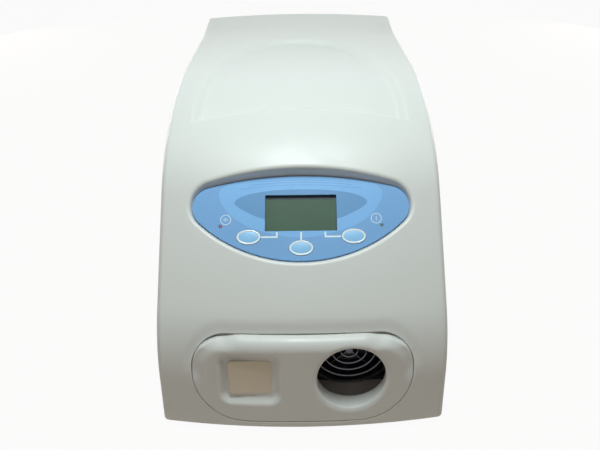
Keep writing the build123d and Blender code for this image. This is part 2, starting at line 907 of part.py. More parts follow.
# One blade, drawn about the Z axis: it twists and widens from the hub to the tip
with BuildPart() as blade:
    for reach, chord, pitch in (
        (fan_hub - blade_thickness, blade_root_chord, blade_root_pitch),
        (fan_bore, blade_tip_chord, blade_tip_pitch),
    ):
        with BuildSketch(Plane.YZ.offset(reach)):
            Rectangle(chord, blade_thickness, rotation=pitch)
    loft()
    with BuildSketch():
        Circle(fan_bore - fan_tip_gap)
    extrude(amount=fan_thickness, both=True, mode=Mode.INTERSECT)

with BuildPart(rotor_front.offset(-rotor_length / 2)) as fan_rotor:
    with PolarLocations(0, blade_count):
        add(blade.part)
    with BuildSketch(rotor_front):
        Circle(fan_hub)
    extrude(amount=-rotor_length)
    with BuildSketch(rotor_front):
        Circle(fan_shaft)
    extrude(amount=-rotor_length - fan_flange)
save(fan_rotor, "fan_rotor")

guard_plane = fan_face.offset(3 * guard_wire)
guard_reach = fan_hole_pitch / 2**0.5

with BuildPart() as intake_guard:
    for ring in range(1, guard_rings + 1):
        with BuildSketch(Plane(guard_plane.origin, x_dir=(1, 0, 0), z_dir=(0, 0, 1))):
            with Locations((ring * guard_pitch, 0)):
                RegularPolygon(guard_wire, 8)
        revolve(axis=Axis(guard_plane.origin, (0, 1, 0)))
    with BuildSketch(guard_plane):
        Circle(guard_hub)
    extrude(amount=guard_wire, both=True)
    with BuildSketch(guard_plane.offset(-2 * guard_wire)):
        with PolarLocations(guard_reach / 2, 4, start_angle=45):
            Rectangle(guard_reach, 2 * guard_wire)
        with Locations(*fan_corners):
            Circle(screw_head)
        with Locations(*fan_corners):
            Circle(screw_radius + screw_clearance, mode=Mode.SUBTRACT)
    extrude(amount=-guard_wire)
    with BuildSketch(guard_plane):
        with PolarLocations((guard_reach - screw_head) / 2, 4, start_angle=45):
            Rectangle(guard_reach - 2 * screw_head, guard_wire)
    extrude(amount=-2.5 * guard_wire)
save(intake_guard, "intake_guard")

with BuildPart() as fan_screws:
    with BuildSketch(upright(fan_front - guard_wire)):
        with Locations(*fan_hole_spots):
            Circle(screw_head)
    extrude(amount=screw_head_tall)
    fillet(fan_screws.faces().sort_by(Axis.Y)[0].edges(), screw_head_tall / 3)
    with BuildSketch(upright(fan_front - guard_wire)):
        with Locations(*fan_hole_spots):
            Circle(screw_radius)
    extrude(amount=-guard_wire - fan_thickness - 2 * bracket_sheet)
save(fan_screws, "fan_screws")


# Cooler: a finned heat sink, two Peltier modules, a water block and a sprung clamp plate
sink_top = sink_height + fin_tall + sink_base
sink_middle = sink_front + sink_length / 2
block_low = sink_top + peltier_thickness
block_top = block_low + block_thickness
block_middle = block_low + block_thickness / 2
fin_pitch = (sink_width - fin_thickness) / (fin_count - 1)
clamp_spots = [(intake_x + sx * clamp_x, sink_middle + sy * clamp_y) for sx in (-1, 1) for sy in (-1, 1)]

with BuildPart() as heat_sink:
    with BuildSketch(upright(sink_front)):
        with Locations((intake_x, sink_top - sink_base / 2)):
            Rectangle(sink_width, sink_base)
        with Locations((intake_x, sink_height + fin_tall / 2)):
            with GridLocations(fin_pitch, 0, fin_count, 1):
                Rectangle(fin_thickness, fin_tall)
        for side in (-1, 1):
            leg_x = intake_x + side * (sink_width - fin_thickness) / 2
            foot_middle = intake_x + side * (sink_width + sink_foot) / 2
            with Locations((leg_x, (pan_sheet + sink_height) / 2)):
                Rectangle(fin_thickness, sink_height - pan_sheet)
            with Locations((foot_middle, pan_sheet + fin_thickness / 2)):
                Rectangle(sink_foot + 2 * fin_thickness, fin_thickness)
    extrude(amount=-sink_length)
    with BuildSketch(level(sink_top)):
        with Locations(*clamp_spots):
            Circle(screw_radius)
    extrude(amount=-sink_base, mode=Mode.SUBTRACT)
save(heat_sink, "heat_sink")

with BuildPart() as peltier_modules:
    with BuildSketch(level(sink_top)):
        with Locations(*peltier_spots):
            Rectangle(peltier_side, peltier_side)
    extrude(amount=peltier_thickness)
save(peltier_modules, "peltier_modules")

feed_y = motor_front + motor_length + head_length / 2
block_front = sink_middle - block_length / 2
block_back = sink_middle + block_length / 2

with BuildPart() as water_block:
    with BuildSketch(level(block_low)):
        with Locations((intake_x, sink_middle)):
            RectangleRounded(block_width, block_length, block_corner)
    extrude(amount=block_thickness)
    with BuildSketch(lengthwise(intake_x - block_width / 2)):
        with Locations((feed_y, block_middle)):
            Circle(spigot_radius)
    extrude(amount=-spigot_length)
    with BuildSketch(upright(block_back)):
        with Locations((intake_x, block_middle)):
            Circle(spigot_radius)
    extrude(amount=-spigot_length)
    with BuildSketch(lengthwise(intake_x - block_width / 2 - spigot_length)):
        with Locations((feed_y, block_middle)):
            Circle(spigot_bore)
    extrude(amount=spigot_length + block_width / 2, mode=Mode.SUBTRACT)
    with BuildSketch(upright(block_back + spigot_length)):
        with Locations((intake_x, block_middle)):
            Circle(spigot_bore)
    extrude(amount=spigot_length + block_length - block_end, mode=Mode.SUBTRACT)
    with BuildSketch(upright(block_front)):
        with Locations((intake_x, block_middle)):
            Circle(probe_radius)
    extrude(amount=-probe_depth, mode=Mode.SUBTRACT)
save(water_block, "water_block")

with BuildPart() as temperature_probe:
    with BuildSketch(upright(block_front)):
        with Locations((intake_x, block_middle)):
            RegularPolygon(2 * probe_radius, 6)
    extrude(amount=2 * probe_radius)
    with BuildSketch(upright(block_front)):
        with Locations((intake_x, block_middle)):
            Circle(probe_radius)
    extrude(amount=1 - probe_depth)
save(temperature_probe, "temperature_probe")

with BuildPart() as clamp_plate:
    with BuildSketch(level(block_top)):
        with Locations((intake_x, sink_middle)):
            RectangleRounded(2 * (clamp_x + clamp_border), 2 * (clamp_y + clamp_border), clamp_border)
        with Locations(*clamp_spots):
            Circle(screw_radius + screw_clearance, mode=Mode.SUBTRACT)
    extrude(amount=clamp_thickness)
save(clamp_plate, "clamp_plate")

with BuildPart() as clamp_springs:
    with BuildSketch(level(block_top + clamp_thickness)):
        with Locations(*clamp_spots):
            Circle(2 * screw_radius)
    extrude(amount=spring_tall / 2, taper=-spring_cone)
    mirror(about=level(block_top + clamp_thickness + spring_tall / 2))
    with BuildSketch(level(block_top + clamp_thickness)):
        with Locations(*clamp_spots):
            Circle(screw_radius + screw_clearance)
    extrude(amount=spring_tall, mode=Mode.SUBTRACT)
save(clamp_springs, "clamp_springs")

with BuildPart() as clamp_screws:
    with BuildSketch(level(block_top + clamp_thickness + spring_tall)):
        with Locations(*clamp_spots):
            Circle(screw_head)
    extrude(amount=screw_head_tall)
    with BuildSketch(level(block_top + clamp_thickness + spring_tall)):
        with Locations(*clamp_spots):
            Circle(screw_radius)
    extrude(amount=sink_top - sink_base / 2 - block_top - clamp_thickness - spring_tall)
save(clamp_screws, "clamp_screws")


# Pump: a magnet-driven head with its motor in a rubber saddle under a strap
motor_back = motor_front + motor_length
head_back = motor_back + head_length
pump_centre = (pump_x, pump_height)
saddle_low = pan_sheet
saddle_tall = pump_height - motor_radius / 2 - saddle_low

with BuildPart() as pump_motor:
    with BuildSketch(upright(motor_back)):
        with Locations(pump_centre):
            Circle(motor_radius)
    extrude(amount=motor_length)
    fillet(pump_motor.edges().sort_by(Axis.Y)[0], motor_round)
    with BuildSketch(upright(motor_front + motor_round)):
        with Locations(pump_centre):
            Circle(motor_radius + 1)
            Circle(motor_radius - motor_groove, mode=Mode.SUBTRACT)
    extrude(amount=-motor_groove, mode=Mode.SUBTRACT)
    with BuildSketch(upright(motor_back)):
        with Locations(pump_centre):
            Circle(shaft_radius + shaft_clearance)
    extrude(amount=shaft_length + impeller_gap, mode=Mode.SUBTRACT)
save(pump_motor, "pump_motor")

with BuildPart() as pump_head:
    with BuildSketch(upright(motor_back)):
        with Locations(pump_centre):
            Circle(head_radius)
        with Locations((outlet_x, pump_height + head_radius / 2)):
            Rectangle(2 * (spigot_radius + tank_wall), head_radius)
    extrude(amount=-head_length)
    with BuildSketch(level(pump_height + head_radius)):
        with Locations((outlet_x, feed_y)):
            Circle(spigot_radius)
    extrude(amount=spigot_length)
    with BuildSketch(upright(head_back)):
        with Locations(pump_centre):
            Circle(spigot_radius)
    extrude(amount=-spigot_length)
    with BuildSketch(upright(motor_back)):
        with Locations(pump_centre):
            Circle(chamber_radius)
    extrude(amount=chamber_end - head_length, mode=Mode.SUBTRACT)
    with BuildSketch(upright(head_back + spigot_length)):
        with Locations(pump_centre):
            Circle(spigot_bore)
    extrude(amount=spigot_length + 2 * chamber_end, mode=Mode.SUBTRACT)
    with BuildSketch(level(pump_height)):
        with Locations((outlet_x, feed_y)):
            Circle(spigot_bore)
    extrude(amount=head_radius + spigot_length, mode=Mode.SUBTRACT)
save(pump_head, "pump_head")

with BuildPart() as pump_impeller:
    with BuildSketch(upright(motor_back + impeller_gap)):
        with Locations(pump_centre):
            Circle(chamber_radius - 2 * impeller_gap)
    extrude(amount=-2 * impeller_gap)
    with BuildSketch(upright(motor_back + 3 * impeller_gap)):
        with Locations(pump_centre):
            with PolarLocations(chamber_radius / 2, vane_count):
                Rectangle(chamber_radius - 4 * impeller_gap, 2 * impeller_gap, rotation=vane_skew)
    extrude(amount=-vane_tall)
    with BuildSketch(upright(motor_back + impeller_gap)):
        with Locations(pump_centre):
            Circle(shaft_radius)
    extrude(amount=shaft_length)
save(pump_impeller, "pump_impeller")

with BuildPart() as pump_saddle:
    with BuildSketch(upright(saddle_front)):
        with Locations((pump_x, saddle_low + saddle_tall / 2)):
            Rectangle(saddle_width, saddle_tall)
        with Locations(pump_centre):
            Circle(motor_radius, mode=Mode.SUBTRACT)
    extrude(amount=-saddle_length)
save(pump_saddle, "pump_saddle")

with BuildPart() as pump_strap:
    with BuildSketch(upright(strap_middle + strap_width / 2)):
        with Locations(pump_centre):
            Circle(motor_radius + strap_thickness)
        with Locations((pump_x, pump_height / 2)):
            Rectangle(2 * (motor_radius + strap_thickness), pump_height)
        with Locations((pump_x, pan_sheet + strap_thickness / 2)):
            Rectangle(2 * (motor_radius + strap_thickness + strap_foot), strap_thickness)
        with Locations(pump_centre):
            Circle(motor_radius, mode=Mode.SUBTRACT)
        with Locations((pump_x, pump_height / 2)):
            Rectangle(2 * motor_radius, pump_height, mode=Mode.SUBTRACT)
    extrude(amount=strap_width)
    split(bisect_by=level(pan_sheet), keep=Keep.TOP)
    with BuildSketch(level(pan_sheet)):
        with Locations(*strap_spots):
            Circle(board_screw_radius)
    extrude(amount=strap_thickness, mode=Mode.SUBTRACT)
save(pump_strap, "pump_strap")


# Water tank: an open box, its lid with the float's stem, and a filler neck through the rear panel
tank_front = tank_back - tank_length
tank_middle = tank_front + tank_length / 2
inner_width = tank_width - 2 * tank_wall
inner_length = tank_length - 2 * tank_wall
inner_round = tank_round - tank_wall
neck_end = rear_face + neck_proud
return_y = tank_back - return_rear
float_y = tank_front + float_front
lid_low = tank_top - tank_wall

with BuildPart() as water_tank:
    with BuildSketch(level(pan_sheet)):
        with Locations((tank_x, tank_middle)):
            RectangleRounded(tank_width, tank_length, tank_round)
    extrude(amount=lid_low - pan_sheet)
    with BuildSketch(upright(tank_back)):
        with Locations((tank_x, drain_height)):
            Circle(drain_radius + 2 * tank_wall)
    extrude(amount=-(rear_face - tank_back))
    with BuildSketch(upright(tank_front)):
        with Locations((pump_x, pump_height)):
            Circle(spigot_radius)
    extrude(amount=spigot_length)
    with BuildSketch(lengthwise(tank_x + tank_width / 2)):
        with Locations((return_y, inlet_height)):
            Circle(spigot_radius)
    extrude(amount=spigot_length)
    with BuildSketch(level(pan_sheet + tank_wall)):
        with Locations((tank_x, tank_middle)):
            RectangleRounded(inner_width, inner_length, inner_round)
    extrude(amount=tank_tall, mode=Mode.SUBTRACT)
    with BuildSketch(upright(tank_back)):
        with Locations((tank_x, neck_height)):
            Circle(neck_bore)
    extrude(amount=2 * tank_wall, mode=Mode.SUBTRACT)
    with BuildSketch(upright(rear_face)):
        with Locations((tank_x, drain_height)):
            Circle(drain_radius)
    extrude(amount=tank_rear + 2 * tank_wall, mode=Mode.SUBTRACT)
    with BuildSketch(upright(tank_front - spigot_length)):
        with Locations((pump_x, pump_height)):
            Circle(spigot_bore)
    extrude(amount=-spigot_length - 2 * tank_wall, mode=Mode.SUBTRACT)
    with BuildSketch(lengthwise(tank_x + tank_width / 2 + spigot_length)):
        with Locations((return_y, inlet_height)):
            Circle(spigot_bore)
    extrude(amount=-spigot_length - 2 * tank_wall, mode=Mode.SUBTRACT)
save(water_tank, "water_tank")

with BuildPart() as tank_lid:
    with BuildSketch(level(lid_low)):
        with Locations((tank_x, tank_middle)):
            RectangleRounded(tank_width, tank_length, tank_round)
    extrude(amount=tank_wall)
    fillet(tank_lid.edges().group_by(Axis.Z)[-1], tank_wall / 2)
    with BuildSketch(level(lid_low)):
        with Locations((tank_x, float_y)):
            Circle(stem_radius)
    extrude(amount=float_low - stem_stop - lid_low)
    with BuildSketch(level(float_low - stem_stop)):
        with Locations((tank_x, float_y)):
            Circle(2 * stem_radius)
    extrude(amount=stem_stop - cap_gap)
save(tank_lid, "tank_lid")

with BuildPart() as filler_neck:
    with BuildSketch(upright(tank_back)):
        with Locations((tank_x, neck_height)):
            Circle(neck_radius)
    extrude(amount=tank_back - neck_end)
    with BuildSketch(upright(tank_back)):
        with Locations((tank_x, neck_height)):
            Circle(neck_radius + neck_flange)
    extrude(amount=-neck_flange)
    split(bisect_by=level(tank_top), keep=Keep.BOTTOM)
    with BuildSketch(upright(tank_back)):
        with Locations((tank_x, neck_height)):
            Circle(neck_bore)
    extrude(amount=tank_back - neck_end, mode=Mode.SUBTRACT)
save(filler_neck, "filler_neck")

with BuildPart() as filler_cap:
    with BuildSketch(upright(cap_front)):
        with Locations((tank_x, neck_height)):
            Circle(cap_radius)
    extrude(amount=-cap_length)
    chamfer(filler_cap.edges().sort_by(Axis.Y)[-1], cap_grip_radius)
    with BuildSketch(upright(cap_front)):
        with Locations((tank_x, neck_height)):
            with PolarLocations(cap_radius, cap_grips):
                Circle(cap_grip_radius)
    extrude(amount=-cap_length, mode=Mode.SUBTRACT)
    with BuildSketch(upright(cap_front)):
        with Locations((tank_x, neck_height)):
            Circle(neck_radius + cap_gap)
    extrude(amount=-(neck_end - cap_front) - seal_thickness - cap_gap, mode=Mode.SUBTRACT)
save(filler_cap, "filler_cap")

with BuildPart() as cap_seal:
    with BuildSketch(upright(neck_end + cap_gap)):
        with Locations((tank_x, neck_height)):
            Circle(neck_radius)
            Circle(neck_bore - seal_thickness, mode=Mode.SUBTRACT)
    extrude(amount=-seal_thickness)
save(cap_seal, "cap_seal")

with BuildPart() as drain_plug:
    with BuildSketch(upright(rear_face + cap_gap)):
        with Locations((tank_x, drain_height)):
            Circle(drain_radius + 2 * tank_wall)
            with PolarLocations(drain_radius + 2 * tank_wall, cap_grips // 2):
                Circle(cap_grip_radius, mode=Mode.SUBTRACT)
    extrude(amount=-plug_length)
    with BuildSketch(upright(rear_face + cap_gap)):
        with Locations((tank_x, drain_height)):
            Circle(drain_radius - shaft_clearance)
    extrude(amount=plug_length)
save(drain_plug, "drain_plug")

with BuildPart() as level_float:
    with BuildSketch(level(float_low)):
        with Locations((tank_x, float_y)):
            Circle(float_radius)
    extrude(amount=float_tall)
    chamfer(level_float.edges(), stem_radius)
    with BuildSketch(level(float_low)):
        with Locations((tank_x, float_y)):
            Circle(stem_radius + shaft_clearance)
    extrude(amount=float_tall, mode=Mode.SUBTRACT)
save(level_float, "level_float")


# Hose tails on the rear panel, one out to the cell holder and one back
tail_spots = [(barb_x, outlet_height), (barb_x, inlet_height)]
tail_tip = rear_face - 2 * rear_sheet - spigot_length

with BuildPart() as hose_tails:
    with BuildSketch(upright(rear_face)):
        with Locations(*tail_spots):
            RegularPolygon(barb_flange, 6)
    extrude(amount=-barb_flange_thickness)
    with BuildSketch(upright(case_depth + barb_reach)):
        with Locations(*tail_spots):
            Circle(barb_radius)
    extrude(amount=case_depth + barb_reach - rear_face)
    chamfer(hose_tails.edges().group_by(Axis.Y)[-1], barb_radius / 5)
    with BuildSketch(upright(rear_face)):
        with Locations(*tail_spots):
            Circle(barb_thread)
    extrude(amount=2 * rear_sheet)
    with BuildSketch(upright(rear_face - 2 * rear_sheet)):
        with Locations(*tail_spots):
            Circle(spigot_radius)
    extrude(amount=spigot_length)
    with BuildSketch(upright(case_depth + barb_reach)):
        with Locations(*tail_spots):
            Circle(spigot_bore)
    extrude(amount=case_depth + barb_reach - tail_tip, mode=Mode.SUBTRACT)
save(hose_tails, "hose_tails")

with BuildPart() as tail_nuts:
    with BuildSketch(upright(rear_face - rear_sheet)):
        with Locations(*tail_spots):
            RegularPolygon(barb_flange, 6)
            Circle(barb_thread, mode=Mode.SUBTRACT)
    extrude(amount=rear_sheet)
save(tail_nuts, "tail_nuts")


# Hoses between the pump, the block, the tank and the rear panel
def hose(name, stops, bend):
    """A hose through the stops, each (x, back, up), with its bends rounded."""
    points = [(x, front + back, foot_height + up) for x, back, up in stops]
    with BuildPart() as tube:
        with BuildLine() as route:
            if bend:
                FilletPolyline(*points, radius=bend)
            else:
                Line(*points)
        with BuildSketch(Plane(origin=points[0], z_dir=route.line % 0)):
            Circle(hose_outer)
            Circle(spigot_radius, mode=Mode.SUBTRACT)
        sweep()
    save(tube, name)


hose_end = spigot_length - hose_gap

hose(
    "suction_hose",
    [(pump_x, head_back + hose_gap, pump_height), (pump_x, tank_front - hose_gap, pump_height)],
    0,
)
hose(
    "feed_hose",
    [
        (outlet_x, feed_y, pump_height + head_radius + hose_gap),
        (outlet_x, feed_y, block_middle),
        (intake_x - block_width / 2 - hose_gap, feed_y, block_middle),
    ],
    hose_bend,
)
hose(
    "supply_hose",
    [
        (intake_x, block_back + hose_gap, block_middle),
        (intake_x, block_back + 4 * spigot_length, block_middle),
        (barb_x, tail_tip - 4 * spigot_length, outlet_height),
        (barb_x, tail_tip + hose_end, outlet_height),
    ],
    3 * hose_bend,
)
hose(
    "return_hose",
    [
        (barb_x, tail_tip + hose_end, inlet_height),
        (barb_x, return_y, inlet_height),
        (tank_x + tank_width / 2 + hose_gap, return_y, inlet_height),
    ],
    hose_bend,
)


# Power inlet with its fuse drawer, and the rocker switch above it
inlet_top = inlet_low + inlet_tall / 2
socket_middle = inlet_top - plate_thickness - socket_tall / 2 - 2
drawer_middle = inlet_low - inlet_tall / 2 + drawer_tall / 2 + 4
plate_width = inlet_width + 2 * plate_thickness
plate_tall = inlet_tall + 2 * plate_thickness

with BuildPart() as power_inlet:
    with BuildSketch(upright(rear_face + plate_thickness)):
        with Locations((inlet_x, inlet_low)):
            RectangleRounded(plate_width, plate_tall, plate_thickness)
    extrude(amount=plate_thickness)
    with BuildSketch(upright(rear_face)):
        with Locations((inlet_x, inlet_low)):
            Rectangle(inlet_width, inlet_tall)
    extrude(amount=inlet_deep)
    with BuildSketch(upright(rear_face + plate_thickness)):
        with Locations((inlet_x, socket_middle)):
            RectangleRounded(socket_width, socket_tall, 2)
    extrude(amount=socket_deep, mode=Mode.SUBTRACT)
    with BuildSketch(upright(rear_face + plate_thickness)):
        with Locations((inlet_x, drawer_middle)):
            Rectangle(drawer_width + 2 * cap_gap, drawer_tall + 2 * cap_gap)
    extrude(amount=drawer_length + 2 * cap_gap, mode=Mode.SUBTRACT)
    with BuildSketch(upright(rear_face + plate_thickness - socket_deep)):
        for x, z in ((-pin_pitch, -1), (0, 2), (pin_pitch, -1)):
            with Locations((inlet_x + x, socket_middle + z)):
                Rectangle(2, 4)
    extrude(amount=-socket_deep + pin_sunk)
save(power_inlet, "power_inlet")

with BuildPart() as fuse_drawer:
    with BuildSketch(upright(rear_face + plate_thickness)):
        with Locations((inlet_x, drawer_middle)):
            Rectangle(drawer_width, drawer_tall)
    extrude(amount=drawer_length)
    with BuildSketch(upright(rear_face + 2 * plate_thickness)):
        with Locations((inlet_x, drawer_middle)):
            Rectangle(drawer_width - 2 * plate_thickness, plate_thickness)
    extrude(amount=plate_thickness)
    with BuildSketch(lengthwise(inlet_x)):
        with Locations((rear_face + plate_thickness - drawer_length / 2, drawer_middle)):
            Circle(fuse_radius)
            with Locations((0, drawer_tall / 2)):
                Rectangle(2 * fuse_radius, drawer_tall)
    extrude(amount=drawer_width / 2 - 1, both=True, mode=Mode.SUBTRACT)
save(fuse_drawer, "fuse_drawer")

with BuildPart() as fuse:
    with BuildSketch(lengthwise(inlet_x)):
        with Locations((rear_face + plate_thickness - drawer_length / 2, drawer_middle)):
            Circle(fuse_radius)
    extrude(amount=drawer_width / 2 - 1, both=True)
save(fuse, "fuse")

pivot_spot = (rear_face - rocker_depth, switch_height)
pivot_plane = Plane(
    origin=(inlet_x, front + rear_face - rocker_depth, foot_height + switch_height),
    x_dir=(0, cos(radians(rocker_tilt)), -sin(radians(rocker_tilt))),
    z_dir=(1, 0, 0),
)
rocker_half = rocker_long / 2 - rocker_slack

with BuildPart() as switch_body:
    with BuildSketch(upright(rear_face + plate_thickness)):
        with Locations((inlet_x, switch_height)):
            RectangleRounded(switch_width, switch_long, plate_thickness)
    extrude(amount=plate_thickness)
    with BuildSketch(upright(rear_face)):
        with Locations((inlet_x, switch_height)):
            Rectangle(switch_width - 2 * plate_thickness, switch_long - 2 * plate_thickness)
    extrude(amount=inlet_deep)
    with BuildSketch(upright(rear_face + plate_thickness)):
        with Locations((inlet_x, switch_height)):
            Rectangle(rocker_width + 2 * cap_gap, rocker_long + 2 * cap_gap)
    extrude(amount=inlet_deep - plate_thickness, mode=Mode.SUBTRACT)
    with BuildSketch(lengthwise(inlet_x)):
        with Locations(pivot_spot):
            Circle(pin_radius + shaft_clearance)
    extrude(amount=rocker_width / 2 + pin_radius, both=True, mode=Mode.SUBTRACT)
save(switch_body, "switch_body")

with BuildPart() as switch_rocker:
    with BuildSketch(pivot_plane):
        with BuildLine():
            crest = ThreePointArc(
                (rocker_crest, -rocker_half),
                (rocker_crest - plate_thickness, 0),
                (rocker_crest, rocker_half),
            )
            heel = Line((-2 * pin_radius, 2 * pin_radius), (-2 * pin_radius, -2 * pin_radius))
            Line(crest @ 1, heel @ 0)
            Line(heel @ 1, crest @ 0)
        make_face()
    extrude(amount=rocker_width / 2, both=True)
    with BuildSketch(pivot_plane):
        Circle(pin_radius)
    extrude(amount=rocker_width / 2 + pin_radius - cap_gap, both=True)
save(switch_rocker, "switch_rocker")


# Power supply and control board on the pan
supply_middle = rear_face - supply_rear - supply_length / 2
supply_top = pan_sheet + supply_tall

with BuildPart() as power_supply:
    with BuildSketch(level(pan_sheet)):
        with Locations((supply_x, supply_middle)):
            Rectangle(supply_width, supply_length)
    extrude(amount=supply_tall)
    with BuildSketch(level(pan_sheet + supply_sheet)):
        with Locations((supply_x, supply_middle)):
            Rectangle(supply_width - 2 * supply_sheet, supply_length - 2 * supply_sheet)
    extrude(amount=supply_tall - 2 * supply_sheet, mode=Mode.SUBTRACT)
    with BuildSketch(lengthwise(supply_x)):
        with Locations((supply_middle, pan_sheet + supply_tall / 2)):
            with GridLocations(supply_slot_pitch, 0, supply_slots, 1):
                SlotOverall(supply_tall - 2 * supply_slot_margin, louvre_gap, rotation=90)
    extrude(amount=supply_width, both=True, mode=Mode.SUBTRACT)
save(power_supply, "power_supply")

with BuildPart() as supply_board:
    with BuildSketch(level(pan_sheet + supply_sheet)):
        with Locations((supply_x, supply_middle)):
            Rectangle(supply_width - 4 * supply_sheet, supply_length - 4 * supply_sheet)
    extrude(amount=board_thickness)
    with BuildSketch(level(pan_sheet + supply_sheet + board_thickness)):
        with Locations((supply_x, supply_middle)):
            Rectangle(supply_width / 3, supply_width / 3)
        with Locations((supply_x, supply_middle + supply_length / 3)):
            with GridLocations(supply_width / 4, 0, 3, 1):
                Circle(supply_width / 10)
        with Locations((supply_x, supply_middle - supply_length / 3)):
            Rectangle(supply_width / 2, supply_width / 5)
    extrude(amount=supply_tall - 4 * chip_tall)
save(supply_board, "supply_board")

standoff_spots = [
    (
        supply_x + sx * (control_width / 2 - standoff_inset),
        supply_middle + sy * (control_length / 2 - standoff_inset),
    )
    for sx in (-1, 1)
    for sy in (-1, 1)
]
board_top = supply_top + standoff_tall + board_thickness

with BuildPart() as board_standoffs:
    with BuildSketch(level(supply_top)):
        with Locations(*standoff_spots):
            RegularPolygon(standoff_radius, 6)
            Circle(board_screw_radius, mode=Mode.SUBTRACT)
    extrude(amount=standoff_tall)
save(board_standoffs, "board_standoffs")

with BuildPart() as control_board:
    with BuildSketch(level(supply_top + standoff_tall)):
        with Locations((supply_x, supply_middle)):
            RectangleRounded(control_width, control_length, standoff_radius)
        with Locations(*standoff_spots):
            Circle(board_screw_radius + board_screw_gap, mode=Mode.SUBTRACT)
    extrude(amount=board_thickness)
    with BuildSketch(level(board_top)):
        with Locations((supply_x - chip_side, supply_middle)):
            with GridLocations(0, 2 * chip_side, 1, 3):
                Rectangle(chip_side, chip_side)
        with Locations((supply_x + chip_side, supply_middle)):
            Rectangle(chip_side / 2, control_length / 2)
    extrude(amount=chip_tall)
save(control_board, "control_board")

with BuildPart() as small_screws:
    for spots, seat in ((standoff_spots, board_top), (strap_spots, pan_sheet + strap_thickness)):
        with BuildSketch(level(seat)):
            with Locations(*spots):
                Circle(2 * board_screw_radius)
        extrude(amount=board_screw_radius)
        with BuildSketch(level(seat)):
            with Locations(*spots):
                Circle(board_screw_radius)
        extrude(amount=-strap_thickness - pan_sheet)
save(small_screws, "small_screws")
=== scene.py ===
import json
from math import atan2, cos, hypot, pi, radians, sin, tan

import bpy
from mathutils import Matrix, Vector
from mathutils.geometry import delaunay_2d_cdt


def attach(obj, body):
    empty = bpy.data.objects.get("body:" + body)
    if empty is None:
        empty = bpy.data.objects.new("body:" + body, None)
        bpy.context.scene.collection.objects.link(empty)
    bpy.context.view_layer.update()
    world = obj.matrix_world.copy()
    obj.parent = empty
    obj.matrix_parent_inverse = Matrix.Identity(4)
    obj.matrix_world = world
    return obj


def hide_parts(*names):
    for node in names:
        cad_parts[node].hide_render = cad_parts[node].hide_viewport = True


# Looks of a bench-top water circulator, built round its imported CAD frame.
# Sizes below are in millimetres from the front bottom edge of the case: x right, y back, z up.
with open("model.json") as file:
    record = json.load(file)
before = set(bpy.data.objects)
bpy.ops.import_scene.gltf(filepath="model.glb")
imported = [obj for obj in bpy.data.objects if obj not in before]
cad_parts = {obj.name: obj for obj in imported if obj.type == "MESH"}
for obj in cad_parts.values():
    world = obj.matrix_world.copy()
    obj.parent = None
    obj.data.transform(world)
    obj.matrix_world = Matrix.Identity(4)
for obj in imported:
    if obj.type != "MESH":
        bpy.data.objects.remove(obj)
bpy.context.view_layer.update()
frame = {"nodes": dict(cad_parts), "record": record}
nodes = frame["nodes"]

MM = 0.001
FRONT = -247.0
FOOT = 6.0
HALF = 120.0
SIDE_ROUND = 5.0
DEPTH = 470.0
BOW = 9.0
CROWN = 3.5
WALL = 3.0


def metres(p):
    return (p[0] * MM, (FRONT + p[1]) * MM, (FOOT + p[2]) * MM)


def smooth(t):
    t = min(1.0, max(0.0, t))
    return t * t * t * (t * (6 * t - 15) + 10)


# Finishes
def srgb(r, g, b):
    """A colour written as 0-255 screen values, turned linear."""
    out = []
    for c in (r, g, b):
        c /= 255
        out.append(c / 12.92 if c <= 0.04045 else ((c + 0.055) / 1.055) ** 2.4)
    return (*out, 1.0)


def surface(name, colour, rough=0.5, metal=0.0, vary=0.04, grain=900.0, bump=0.05, patch=18.0,
            coat=0.0, see=0.0, shine=0.5, stretch=None):
    """A procedural finish: patchy colour and roughness, with a fine grain for the bump."""
    mat = bpy.data.materials.new(name)
    mat.use_nodes = True
    tree = mat.node_tree
    new, link = tree.nodes.new, tree.links.new
    shade = tree.nodes["Principled BSDF"]
    where = new("ShaderNodeTexCoord").outputs["Object"]
    if stretch:
        turn = new("ShaderNodeMapping")
        turn.inputs["Scale"].default_value = stretch
        link(where, turn.inputs["Vector"])
        where = turn.outputs["Vector"]

    def noise(scale, detail):
        tex = new("ShaderNodeTexNoise")
        tex.inputs["Scale"].default_value = scale
        tex.inputs["Detail"].default_value = detail
        link(where, tex.inputs["Vector"])
        return tex.outputs["Fac"]

    def spread(source, low, high):
        span = new("ShaderNodeMapRange")
        span.inputs["From Min"].default_value = 0.3
        span.inputs["From Max"].default_value = 0.7
        span.inputs["To Min"].default_value = low
        span.inputs["To Max"].default_value = high
        link(source, span.inputs["Value"])
        return span.outputs["Result"]

    broad, fine = noise(patch, 4.0), noise(grain, 3.0)
    mix = new("ShaderNodeMix")
    mix.data_type = "RGBA"
    mix.inputs["A"].default_value = [c * (1 - vary) for c in colour[:3]] + [1]
    mix.inputs["B"].default_value = [min(1, c * (1 + vary)) for c in colour[:3]] + [1]
    link(spread(broad, 0.0, 1.0), mix.inputs["Factor"])
    link(mix.outputs["Result"], shade.inputs["Base Color"])
    polish = spread(noise(patch * 5, 5.0), max(0.02, rough * 0.85), min(1, rough * 1.15))
    link(polish, shade.inputs["Roughness"])
    shade.inputs["Metallic"].default_value = metal
    lift = new("ShaderNodeBump")
    lift.inputs["Strength"].default_value = bump
    lift.inputs["Distance"].default_value = 0.0002
    link(fine, lift.inputs["Height"])
    link(lift.outputs["Normal"], shade.inputs["Normal"])
    shade.inputs["Coat Weight"].default_value = coat
    shade.inputs["Coat Roughness"].default_value = 0.08
    if see:
        shade.inputs["Transmission Weight"].default_value = see
        shade.inputs["IOR"].default_value = 1.45
    shade.inputs["Specular IOR Level"].default_value = shine
    return mat


